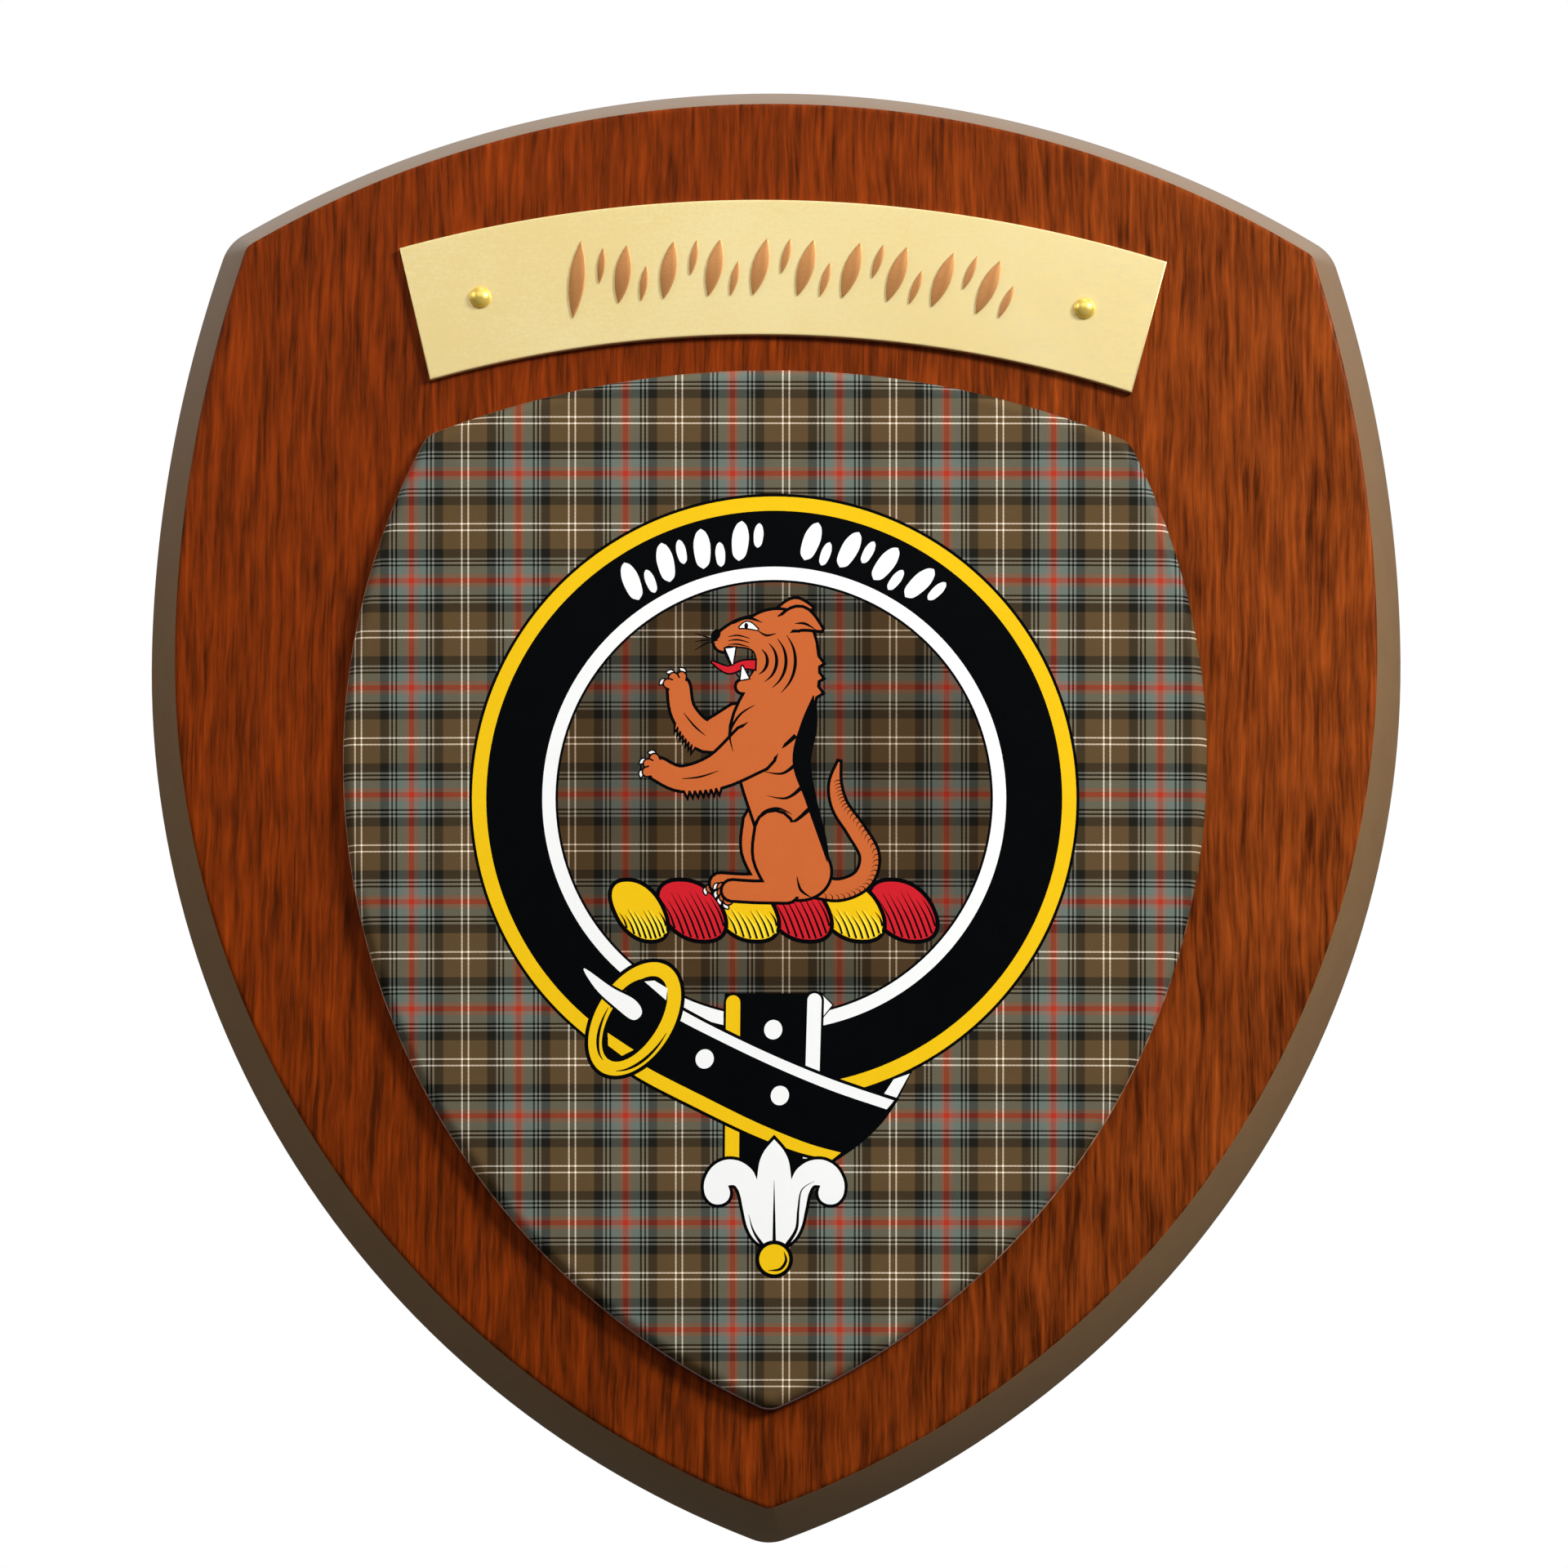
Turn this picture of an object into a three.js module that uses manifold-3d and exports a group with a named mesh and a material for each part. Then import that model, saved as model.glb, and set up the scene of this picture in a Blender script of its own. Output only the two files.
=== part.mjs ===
// A wooden heraldic shield plaque: a bevelled board, a raised inner shield and a curved brass nameplate
// held by two round-headed pins.
// Sizes are in millimetres. +Z is up, +X is to the right for someone facing the plaque, and the front
// faces -Y. The origin is in the middle of the flat back, which lies against the wall.
import * as THREE from 'three';
import { mergeVertices } from 'three/addons/utils/BufferGeometryUtils.js';
import Module from 'manifold-3d';

// The board
const BOARD_WIDTH = 257.4;
const BOARD_HEIGHT = 301.9; // top of the arch to the tip, before the tip is rounded
const BOARD_THICKNESS = 16;
const BOARD_ARCH_RISE = 33.4; // top of the arch above the shoulders
const BOARD_SHOULDER_INSET = 13.8; // shoulder to the widest point, sideways
const BOARD_WIDEST_DROP = 119.7; // top of the arch down to the widest point
const BEVEL_WIDTH = 6.2;
const BEVEL_DEPTH = 14;
const FACE_CORNER_RADIUS = 3; // shoulders and tip, on the front face

// The curved nameplate, and the small turn it was fixed at
const PLATE_DROP = 20.8; // top of the front face down to the top of the plate
const PLATE_HEIGHT = 28.5;
const PLATE_THICKNESS = 1.5;
const PLATE_MID_RADIUS = 259;
const PLATE_UPPER_CHORD = 158;
const PLATE_LOWER_CHORD = 144;
const PLATE_TURN = THREE.MathUtils.degToRad(0.55);
const PLATE_SHIFT = 0.7;

// The pins that hold the nameplate
const PIN_SPACING = 124.2;
const PIN_HEAD_DIAMETER = 4.5;
const PIN_HEAD_HEIGHT = 1.7;
const PIN_SHANK_DIAMETER = 1.6;
const PIN_DEPTH_IN_BOARD = 8;
const PIN_CLEARANCE = 0.15; // round the shank and under its point

// The row of raised strokes on the nameplate
const STROKE_RELIEF = 0.5;
const STROKE_ROOT = 0.2; // how deep a stroke is let into the plate
const STROKE_COUNT = 10;
const STROKE_PITCH = 9.4;
const STROKE_LENGTH = 12.4;
const FIRST_STROKE_LENGTH = 16.4;
const STROKE_WIDTH = 3.2;
const SLIM_STROKE_LENGTH = 7.6;
const SLIM_STROKE_WIDTH = 1.5;
const STROKE_LEAN = THREE.MathUtils.degToRad(14);

// The raised inner shield
const INNER_GAP = 7.5; // between the nameplate and the top of the inner shield
const BORDER_SIDE = 34.7; // edge of the front face to the inner shield at its widest
const BORDER_TIP = 19.6; // tip of the front face to the tip of the inner shield
const INNER_ARCH_RISE = 14.4;
const INNER_SHOULDER_INSET = 15.9;
const INNER_WIDEST_DROP = 79.8;
const INNER_WALL = 1.2; // upright part of its edge
const INNER_EDGE_RADIUS = 2.8;
const INNER_CROWN = 1.2; // rise of the field between its rounded edges
const INNER_CORNER_RADIUS = 2.2; // shoulders and tip, where the rounded edge ends

// The keyhole slot in the back
const KEYHOLE_DEPTH = 9;
const KEYHOLE_LIP = 3.4; // wood left in front of the screw head, beside the neck
const KEYHOLE_HEAD_DIAMETER = 10;
const KEYHOLE_NECK_WIDTH = 5.4;
const KEYHOLE_TRAVEL = 14;
const KEYHOLE_DROP = 45; // top of the board down to where the screw rests
const CUT_MARGIN = 1; // how far a cutter stands out of the face that it enters

// Steps along each stretch of a shield's outline, and round the small parts
const ARCH_STEPS = 14;
const CORNER_STEPS = 5;
const UPPER_SIDE_STEPS = 12;
const LOWER_SIDE_STEPS = 18;
const TIP_STEPS = 3;
const EDGE_STEPS = 6;
const CROWN_STEPS = 7;
const PLATE_STEPS = 28;
const ROUND_STEPS = 24;
const DOME_STEPS = 7;
const STROKE_STEPS = 7;

// Places that follow from the sizes
const BOARD_TOP = BOARD_HEIGHT / 2;
const BOARD_FRONT = -BOARD_THICKNESS;
const PLATE_TOP = BOARD_TOP - BEVEL_WIDTH - PLATE_DROP;
const PLATE_BOTTOM = PLATE_TOP - PLATE_HEIGHT;
const PLATE_MIDDLE = (PLATE_TOP + PLATE_BOTTOM) / 2;
const INNER_TOP = PLATE_BOTTOM - INNER_GAP;
const INNER_TIP = -BOARD_TOP + BEVEL_WIDTH + BORDER_TIP;
const KEYHOLE_REST = BOARD_TOP - KEYHOLE_DROP;

// Materials
const brassPlate = new THREE.MeshStandardMaterial({ color: 0xf3e3a6, roughness: 0.34, metalness: 1 });
const brassPin = new THREE.MeshStandardMaterial({ color: 0xe2bd52, roughness: 0.2, metalness: 1 });
const redWood = new THREE.MeshStandardMaterial({ color: 0x7a3210, roughness: 0.42, metalness: 0 });
const printedField = new THREE.MeshStandardMaterial({ color: 0x655a48, roughness: 0.5, metalness: 0 });

// The circle that passes through two points and lies level with the second one
function circleLevelWith(through, level) {
  const rise = through.y - level.y;
  const reach = level.x - through.x;
  const radius = (reach * reach + rise * rise) / (2 * reach);
  return { centre: new THREE.Vector2(level.x - radius, level.y), radius };
}

// The same with the axes exchanged: the circle whose top is the second point
function circleBelow(through, top) {
  const swapped = circleLevelWith(new THREE.Vector2(through.y, through.x), new THREE.Vector2(top.y, top.x));
  return { centre: new THREE.Vector2(swapped.centre.y, swapped.centre.x), radius: swapped.radius };
}

// Where two circles cross, on the side that has the greater x
function crossing(first, second) {
  const across = second.centre.clone().sub(first.centre);
  const distance = across.length();
  const along = (first.radius ** 2 - second.radius ** 2 + distance ** 2) / (2 * distance);
  const aside = Math.sqrt(Math.max(first.radius ** 2 - along ** 2, 0));
  const unit = across.divideScalar(distance);
  const foot = first.centre.clone().addScaledVector(unit, along);
  const sideways = new THREE.Vector2(-unit.y, unit.x);
  const ahead = foot.clone().addScaledVector(sideways, aside);
  const behind = foot.clone().addScaledVector(sideways, -aside);
  return ahead.x > behind.x ? ahead : behind;
}

function shrunk(circle, by) {
  return { centre: circle.centre, radius: circle.radius - by };
}

function angleTo(circle, point) {
  return Math.atan2(point.y - circle.centre.y, point.x - circle.centre.x);
}

// Points on a circle from one angle to another, without the last one
function arcPoints(circle, from, to, steps) {
  const points = [];
  for (let step = 0; step < steps; step += 1) {
    const angle = THREE.MathUtils.lerp(from, to, step / steps);
    const spoke = new THREE.Vector2(Math.cos(angle), Math.sin(angle)).multiplyScalar(circle.radius);
    points.push(spoke.add(circle.centre));
  }
  return points;
}

// The four sizes of a shield and its rounding, as x to the right and y up.
// The arch runs from the top to the shoulders, and each side is two arcs that meet at the widest point.
function shieldSizes(halfWidth, top, tip, archRise, shoulderInset, widestDrop, cornerRadius) {
  const shoulder = new THREE.Vector2(halfWidth - shoulderInset, top - archRise);
  const widest = new THREE.Vector2(halfWidth, top - widestDrop);
  const arch = circleBelow(shoulder, new THREE.Vector2(0, top));
  const upperSide = circleLevelWith(shoulder, widest);
  const lowerSide = circleLevelWith(new THREE.Vector2(0, tip), widest);
  return { arch, upperSide, lowerSide, cornerRadius };
}

// The closed outline of a shield, moved inwards by inset, anticlockwise from the middle of the arch
function shieldOutline(shield, inset) {
  const arch = shrunk(shield.arch, inset);
  const upperSide = shrunk(shield.upperSide, inset);
  const lowerSide = shrunk(shield.lowerSide, inset);
  const cornerRadius = shield.cornerRadius - inset;
  const cornerCentre = crossing(shrunk(arch, cornerRadius), shrunk(upperSide, cornerRadius));
  const corner = { centre: cornerCentre, radius: cornerRadius };
  const tipReach = lowerSide.radius - cornerRadius;
  const tipDrop = Math.sqrt(tipReach ** 2 - lowerSide.centre.x ** 2);
  const tip = { centre: new THREE.Vector2(0, lowerSide.centre.y - tipDrop), radius: cornerRadius };
  const archEnd = angleTo(arch, cornerCentre);
  const sideStart = angleTo(upperSide, cornerCentre);
  const sideEnd = angleTo(lowerSide, tip.centre);
  const right = [
    ...arcPoints(arch, Math.PI / 2, archEnd, ARCH_STEPS),
    ...arcPoints(corner, archEnd, sideStart, CORNER_STEPS),
    ...arcPoints(upperSide, sideStart, 0, UPPER_SIDE_STEPS),
    ...arcPoints(lowerSide, 0, sideEnd, LOWER_SIDE_STEPS),
    ...arcPoints(tip, sideEnd, -Math.PI / 2, TIP_STEPS),
  ];
  const lowest = new THREE.Vector2(0, tip.centre.y - cornerRadius);
  const left = right.slice(1).map((point) => new THREE.Vector2(-point.x, point.y));
  return [right[0], ...left, lowest, ...right.slice(1).reverse()];
}

// A closed body through rings of equal length, from the back one to the front one
function loft(rings) {
  const count = rings[0].outline.length;
  const positions = [];
  const index = [];
  for (const ring of rings) {
    for (const point of ring.outline) {
      positions.push(point.x, ring.y, point.y);
    }
  }
  for (let band = 0; band < rings.length - 1; band += 1) {
    for (let step = 0; step < count; step += 1) {
      const next = (step + 1) % count;
      const back = band * count;
      const front = back + count;
      index.push(back + step, back + next, front + next);
      index.push(back + step, front + next, front + step);
    }
  }
  const lastRing = (rings.length - 1) * count;
  for (const [a, b, c] of THREE.ShapeUtils.triangulateShape(rings[0].outline, [])) {
    index.push(a, c, b);
  }
  for (const [a, b, c] of THREE.ShapeUtils.triangulateShape(rings.at(-1).outline, [])) {
    index.push(lastRing + a, lastRing + b, lastRing + c);
  }
  const geometry = new THREE.BufferGeometry();
  geometry.setAttribute('position', new THREE.Float32BufferAttribute(positions, 3));
  geometry.setIndex(index);
  geometry.computeVertexNormals();
  return geometry;
}

// An outline in x and z, made solid from y = 0 forwards to y = -depth
function extrudedForwards(shape, depth, curveSegments) {
  const geometry = new THREE.ExtrudeGeometry(shape, { depth, curveSegments, bevelEnabled: false });
  return geometry.rotateX(Math.PI / 2);
}

// A round bar along y, from the front end to the back end
function roundBar(radius, front, back, x, z) {
  const geometry = new THREE.CylinderGeometry(radius, radius, back - front, ROUND_STEPS);
  return geometry.translate(x, (front + back) / 2, z);
}

const wasm = await Module();
wasm.setup();

function toSolid(geometry) {
  const bare = geometry.clone();
  bare.deleteAttribute('normal');
  bare.deleteAttribute('uv');
  const merged = mergeVertices(bare);
  const vertProperties = new Float32Array(merged.attributes.position.array);
  const triVerts = new Uint32Array(merged.index.array);
  return new wasm.Manifold(new wasm.Mesh({ numProp: 3, vertProperties, triVerts }));
}

function toGeometry(solid) {
  const mesh = solid.getMesh();
  const geometry = new THREE.BufferGeometry();
  geometry.setAttribute('position', new THREE.BufferAttribute(mesh.vertProperties, mesh.numProp));
  geometry.setIndex(new THREE.BufferAttribute(mesh.triVerts, 1));
  geometry.computeVertexNormals();
  return geometry;
}

function namedMesh(name, geometry, material) {
  const mesh = new THREE.Mesh(geometry, material);
  mesh.name = name;
  return mesh;
}

// The nameplate's group stands on the front face, at the middle of the plate
function plateGroup() {
  const group = new THREE.Group();
  group.position.set(PLATE_SHIFT, BOARD_FRONT, PLATE_MIDDLE);
  group.rotation.y = PLATE_TURN;
  group.updateMatrix();
  return group;
}

// A place on the plate's middle arc, by its distance from the plate's centre line
function onPlateArc(x) {
  return new THREE.Vector2(x, Math.sqrt(PLATE_MID_RADIUS ** 2 - x ** 2) - PLATE_MID_RADIUS);
}

// The two pins' places, in the plate's group
function pinPlaces() {
  return [-PIN_SPACING / 2, PIN_SPACING / 2].map(onPlateArc);
}

// One of the plate's two long edges: radius from the shared centre, and the straight width of the edge
function plateEdge(radius, chord) {
  const halfAngle = Math.asin(chord / 2 / radius);
  const circle = { centre: new THREE.Vector2(0, -PLATE_MID_RADIUS), radius };
  const upright = Math.PI / 2;
  return arcPoints(circle, upright + halfAngle, upright - halfAngle, PLATE_STEPS)
    .concat(arcPoints(circle, upright - halfAngle, upright, 1));
}

// A leaf-shaped stroke with pointed ends
function leafShape(length, width) {
  const shape = new THREE.Shape();
  shape.moveTo(0, -length / 2);
  shape.quadraticCurveTo(width, 0, 0, length / 2);
  shape.quadraticCurveTo(-width, 0, 0, -length / 2);
  return shape;
}

// A stroke that stands on the plate, at a place along its middle arc
function strokeSolid(x, rise, length, width) {
  const depth = STROKE_ROOT + STROKE_RELIEF;
  const geometry = extrudedForwards(leafShape(length, width), depth, STROKE_STEPS);
  const place = onPlateArc(x);
  const fan = Math.asin(x / PLATE_MID_RADIUS);
  geometry.translate(0, STROKE_ROOT - PLATE_THICKNESS, rise);
  geometry.rotateY(STROKE_LEAN + fan);
  return toSolid(geometry.translate(place.x, 0, place.y));
}

// The row of strokes: each is a broad leaf with a slim one beside it, high and low in turn
function strokeRow(plate) {
  let row = plate;
  for (let mark = 0; mark < STROKE_COUNT; mark += 1) {
    const x = (mark - (STROKE_COUNT - 1) / 2) * STROKE_PITCH;
    const length = mark === 0 ? FIRST_STROKE_LENGTH : STROKE_LENGTH;
    const slimRise = (mark % 2 === 0 ? 1 : -1) * (STROKE_LENGTH - SLIM_STROKE_LENGTH) / 2;
    row = row.add(strokeSolid(x, 0, length, STROKE_WIDTH));
    row = row.add(strokeSolid(x + STROKE_PITCH / 2, slimRise, SLIM_STROKE_LENGTH, SLIM_STROKE_WIDTH));
  }
  return row;
}

// The nameplate: part of a ring, with straight ends and a hole for each pin
function nameplateGeometry() {
  const upper = plateEdge(PLATE_MID_RADIUS + PLATE_HEIGHT / 2, PLATE_UPPER_CHORD);
  const lower = plateEdge(PLATE_MID_RADIUS - PLATE_HEIGHT / 2, PLATE_LOWER_CHORD);
  const shape = new THREE.Shape([...upper, ...lower.reverse()]);
  let plate = toSolid(extrudedForwards(shape, PLATE_THICKNESS, PLATE_STEPS));
  const holeRadius = PIN_SHANK_DIAMETER / 2 + PIN_CLEARANCE;
  for (const place of pinPlaces()) {
    const hole = roundBar(holeRadius, -PLATE_THICKNESS - CUT_MARGIN, CUT_MARGIN, place.x, place.y);
    plate = plate.subtract(toSolid(hole));
  }
  return toGeometry(strokeRow(plate));
}

// A pin: a domed head on a plain round shank that ends in a flat point
function pinGeometry() {
  const headRadius = PIN_HEAD_DIAMETER / 2;
  const shankRadius = PIN_SHANK_DIAMETER / 2;
  const shankLength = PLATE_THICKNESS + PIN_DEPTH_IN_BOARD;
  const profile = [new THREE.Vector2(0, shankLength)];
  profile.push(new THREE.Vector2(shankRadius, shankLength));
  profile.push(new THREE.Vector2(shankRadius, 0));
  for (let step = 0; step < DOME_STEPS; step += 1) {
    const angle = (step / DOME_STEPS) * (Math.PI / 2);
    profile.push(new THREE.Vector2(headRadius * Math.cos(angle), -PIN_HEAD_HEIGHT * Math.sin(angle)));
  }
  profile.push(new THREE.Vector2(0, -PIN_HEAD_HEIGHT));
  return new THREE.LatheGeometry(profile.reverse(), ROUND_STEPS);
}

// The keyhole: a round entry, a narrow neck above it, and a wider groove behind the neck
function keyholeCutters() {
  const headRadius = KEYHOLE_HEAD_DIAMETER / 2;
  const neckRadius = KEYHOLE_NECK_WIDTH / 2;
  const entry = KEYHOLE_REST - KEYHOLE_TRAVEL;
  const middle = (entry + KEYHOLE_REST) / 2;
  const grooveDepth = KEYHOLE_DEPTH - KEYHOLE_LIP;
  const neckDepth = KEYHOLE_DEPTH + CUT_MARGIN;
  const groove = new THREE.BoxGeometry(KEYHOLE_HEAD_DIAMETER, grooveDepth, KEYHOLE_TRAVEL);
  const neck = new THREE.BoxGeometry(KEYHOLE_NECK_WIDTH, neckDepth, KEYHOLE_TRAVEL);
  return [
    roundBar(headRadius, -KEYHOLE_DEPTH, CUT_MARGIN, 0, entry),
    roundBar(headRadius, -KEYHOLE_DEPTH, -KEYHOLE_LIP, 0, KEYHOLE_REST),
    roundBar(neckRadius, -KEYHOLE_DEPTH, CUT_MARGIN, 0, KEYHOLE_REST),
    groove.translate(0, -KEYHOLE_LIP - grooveDepth / 2, middle),
    neck.translate(0, CUT_MARGIN - neckDepth / 2, middle),
  ];
}

// The holes that the pins' shanks enter, in the board's own frame
function pinHoleCutters(group) {
  const radius = PIN_SHANK_DIAMETER / 2 + PIN_CLEARANCE;
  const bottom = BOARD_FRONT + PIN_DEPTH_IN_BOARD + PIN_CLEARANCE;
  return pinPlaces().map((place) => {
    const onBoard = new THREE.Vector3(place.x, 0, place.y).applyMatrix4(group.matrix);
    return roundBar(radius, BOARD_FRONT - CUT_MARGIN, bottom, onBoard.x, onBoard.z);
  });
}

// The board: a thin upright edge at the back, then one long bevel to the front face
function boardGeometry(group) {
  const backRounding = FACE_CORNER_RADIUS + BEVEL_WIDTH;
  const shield = shieldSizes(
    BOARD_WIDTH / 2,
    BOARD_TOP,
    -BOARD_TOP,
    BOARD_ARCH_RISE,
    BOARD_SHOULDER_INSET,
    BOARD_WIDEST_DROP,
    backRounding,
  );
  const back = shieldOutline(shield, 0);
  let board = toSolid(loft([
    { outline: back, y: 0 },
    { outline: back, y: BOARD_FRONT + BEVEL_DEPTH },
    { outline: shieldOutline(shield, BEVEL_WIDTH), y: BOARD_FRONT },
  ]));
  for (const cutter of [...keyholeCutters(), ...pinHoleCutters(group)]) {
    board = board.subtract(toSolid(cutter));
  }
  return toGeometry(board);
}

// The inner shield: an upright wall, a rounded edge and a gently crowned field
function innerShieldGeometry() {
  const shield = shieldSizes(
    BOARD_WIDTH / 2 - BEVEL_WIDTH - BORDER_SIDE,
    INNER_TOP,
    INNER_TIP,
    INNER_ARCH_RISE,
    INNER_SHOULDER_INSET,
    INNER_WIDEST_DROP,
    INNER_CORNER_RADIUS + INNER_EDGE_RADIUS,
  );
  const rings = [{ outline: shieldOutline(shield, 0), y: BOARD_FRONT }];
  const wallTop = BOARD_FRONT - INNER_WALL;
  for (let step = 0; step <= EDGE_STEPS; step += 1) {
    const angle = (step / EDGE_STEPS) * (Math.PI / 2);
    const inset = INNER_EDGE_RADIUS * (1 - Math.cos(angle));
    rings.push({ outline: shieldOutline(shield, inset), y: wallTop - INNER_EDGE_RADIUS * Math.sin(angle) });
  }
  const field = rings.at(-1);
  const middle = new THREE.Vector2(0, (INNER_TOP + INNER_TIP) / 2);
  for (let step = 1; step <= CROWN_STEPS; step += 1) {
    const shrink = 1 - step / (CROWN_STEPS + 1);
    const outline = field.outline.map((point) => point.clone().sub(middle).multiplyScalar(shrink).add(middle));
    rings.push({ outline, y: field.y - INNER_CROWN * (1 - shrink ** 2) });
  }
  return loft(rings);
}

const plaque = new THREE.Group();
const plateHolder = plateGroup();
plaque.add(namedMesh('wood_shield', boardGeometry(plateHolder), redWood));
plaque.add(namedMesh('crest_shield', innerShieldGeometry(), printedField));
plateHolder.add(namedMesh('nameplate', nameplateGeometry(), brassPlate));
const pinNames = ['pin_left', 'pin_right'];
pinPlaces().forEach((place, side) => {
  const pin = namedMesh(pinNames[side], pinGeometry(), brassPin);
  pin.position.set(place.x, -PLATE_THICKNESS, place.y);
  plateHolder.add(pin);
});
plaque.add(plateHolder);

export default plaque;
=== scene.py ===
"""A wooden heraldic shield plaque: a board, a printed inner shield, a brass nameplate and two pins."""

import logging
import math
from collections.abc import Callable
from dataclasses import dataclass
from enum import Enum
from functools import reduce

import bpy
import numpy as np
from mathutils import Matrix, Vector
from mathutils.geometry import delaunay_2d_cdt


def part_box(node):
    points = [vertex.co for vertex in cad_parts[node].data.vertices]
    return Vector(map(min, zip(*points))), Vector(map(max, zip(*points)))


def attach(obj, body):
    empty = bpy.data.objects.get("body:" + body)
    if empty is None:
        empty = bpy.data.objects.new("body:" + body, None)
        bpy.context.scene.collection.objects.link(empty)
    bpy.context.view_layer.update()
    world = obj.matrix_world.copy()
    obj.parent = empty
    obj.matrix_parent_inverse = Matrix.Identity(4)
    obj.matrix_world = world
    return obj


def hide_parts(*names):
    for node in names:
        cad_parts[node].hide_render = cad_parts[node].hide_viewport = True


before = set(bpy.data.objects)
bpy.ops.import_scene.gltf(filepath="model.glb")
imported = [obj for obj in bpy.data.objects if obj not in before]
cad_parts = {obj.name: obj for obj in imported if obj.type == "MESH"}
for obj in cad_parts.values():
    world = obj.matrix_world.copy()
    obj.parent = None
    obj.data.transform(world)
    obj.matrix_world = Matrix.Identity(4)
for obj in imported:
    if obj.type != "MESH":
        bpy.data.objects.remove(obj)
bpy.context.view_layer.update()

MM = 0.001
BODY = "root"
UPRIGHT = math.pi / 2
ROUND = 2 * math.pi
SLACK = 0.01
TINY = 1e-9
FLAT = 0.99
FEW_CORNERS = 8
log = logging.getLogger("plaque")

Colour = tuple[float, float, float, float]
Point = tuple[float, float]
Place = tuple[float, float, float]
Array = np.ndarray
Thing = bpy.types.Object
Node = bpy.types.Node
Socket = bpy.types.NodeSocket
Sockets = bpy.types.bpy_prop_collection
Value = Socket | float | tuple
Inputs = dict[str | int, Value]
Look = Sockets | dict[str, Socket]


def painted(red: int, green: int, blue: int) -> Colour:
    """Turn a colour as seen on a screen into the light values that a shader takes.

    Args:
        red: Red, 0 to 255.
        green: Green, 0 to 255.
        blue: Blue, 0 to 255.

    Returns:
        The linear colour, opaque.
    """
    channels = (value / 255 for value in (red, green, blue))
    linear = (c / 12.92 if c <= 0.04045 else ((c + 0.055) / 1.055) ** 2.4 for c in channels)
    return (*linear, 1.0)


# Outlines


@dataclass(frozen=True)
class Circle:
    """A circle in the plaque's upright plane, in millimetres."""

    x: float
    z: float
    radius: float

    @classmethod
    def level_with(cls, through: Point, level: Point) -> "Circle":
        """Return the circle through two points whose centre is level with the second.

        Args:
            through: A point on the circle.
            level: The circle's rightmost point.

        Returns:
            The circle.
        """
        rise = through[1] - level[1]
        reach = level[0] - through[0]
        radius = (reach**2 + rise**2) / (2 * reach)
        return cls(level[0] - radius, level[1], radius)

    @classmethod
    def below(cls, through: Point, top: Point) -> "Circle":
        """Return the circle through two points, of which the second is its highest."""
        swapped = cls.level_with((through[1], through[0]), (top[1], top[0]))
        return cls(swapped.z, swapped.x, swapped.radius)

    def shrunk(self, by: float) -> "Circle":
        """Return the circle about the same centre with its radius less by an amount."""
        return Circle(self.x, self.z, self.radius - by)

    def at(self, angle: float) -> Point:
        """Return the point at an angle."""
        return self.x + self.radius * math.cos(angle), self.z + self.radius * math.sin(angle)

    def angle_to(self, other: "Circle") -> float:
        """Return the angle at which another circle's centre stands from this one's."""
        return math.atan2(other.z - self.z, other.x - self.x)

    def arc(self, start: float, end: float, steps: int) -> list[Point]:
        """Return a number of points from one angle on, without the last one."""
        return [self.at(start + (end - start) * step / steps) for step in range(steps)]

    def crossing(self, other: "Circle") -> Point:
        """Return where two circles cross, on the side that lies further right.

        Args:
            other: The second circle.

        Returns:
            The crossing point.
        """
        across = Vector((other.x - self.x, other.z - self.z))
        distance = across.length
        along = (self.radius**2 - other.radius**2 + distance**2) / (2 * distance)
        aside = math.sqrt(max(self.radius**2 - along**2, 0))
        unit = across / distance
        foot = Vector((self.x, self.z)) + unit * along
        sideways = Vector((-unit.y, unit.x)) * aside
        return tuple(max(foot + sideways, foot - sideways, key=lambda point: point.x))


@dataclass(frozen=True)
class ShieldOutline:
    """A shield with an arched top, two shoulders and sides of two arcs each that run down to a tip.

    Sizes are in millimetres.
    """

    half_width: float
    top: float
    tip: float
    arch_rise: float
    shoulder_inset: float
    widest_drop: float
    corner_radius: float
    arch_steps: int = 44
    corner_steps: int = 10
    upper_steps: int = 30
    lower_steps: int = 54
    tip_steps: int = 6

    def points(self, inset: float = 0.0) -> list[Point]:
        """Return the closed outline, anticlockwise from the middle of the arch.

        Args:
            inset: How far the outline is moved inwards.

        Returns:
            The points, as x and z.
        """
        shoulder = (self.half_width - self.shoulder_inset, self.top - self.arch_rise)
        widest = (self.half_width, self.top - self.widest_drop)
        arch = Circle.below(shoulder, (0, self.top)).shrunk(inset)
        upper = Circle.level_with(shoulder, widest).shrunk(inset)
        lower = Circle.level_with((0, self.tip), widest).shrunk(inset)
        rounding = self.corner_radius - inset
        corner = Circle(*arch.shrunk(rounding).crossing(upper.shrunk(rounding)), rounding)
        tip_drop = math.sqrt((lower.radius - rounding) ** 2 - lower.x**2)
        tip = Circle(0, lower.z - tip_drop, rounding)
        arch_end, side_start, side_end = arch.angle_to(corner), upper.angle_to(corner), lower.angle_to(tip)
        right = arch.arc(UPRIGHT, arch_end, self.arch_steps)
        right += corner.arc(arch_end, side_start, self.corner_steps)
        right += upper.arc(side_start, 0, self.upper_steps)
        right += lower.arc(0, side_end, self.lower_steps)
        right += tip.arc(side_end, -UPRIGHT, self.tip_steps)
        left = [(-x, z) for x, z in right[1:]]
        return [right[0], *left, (0, tip.z - rounding), *reversed(right[1:])]


# Modelling


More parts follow.
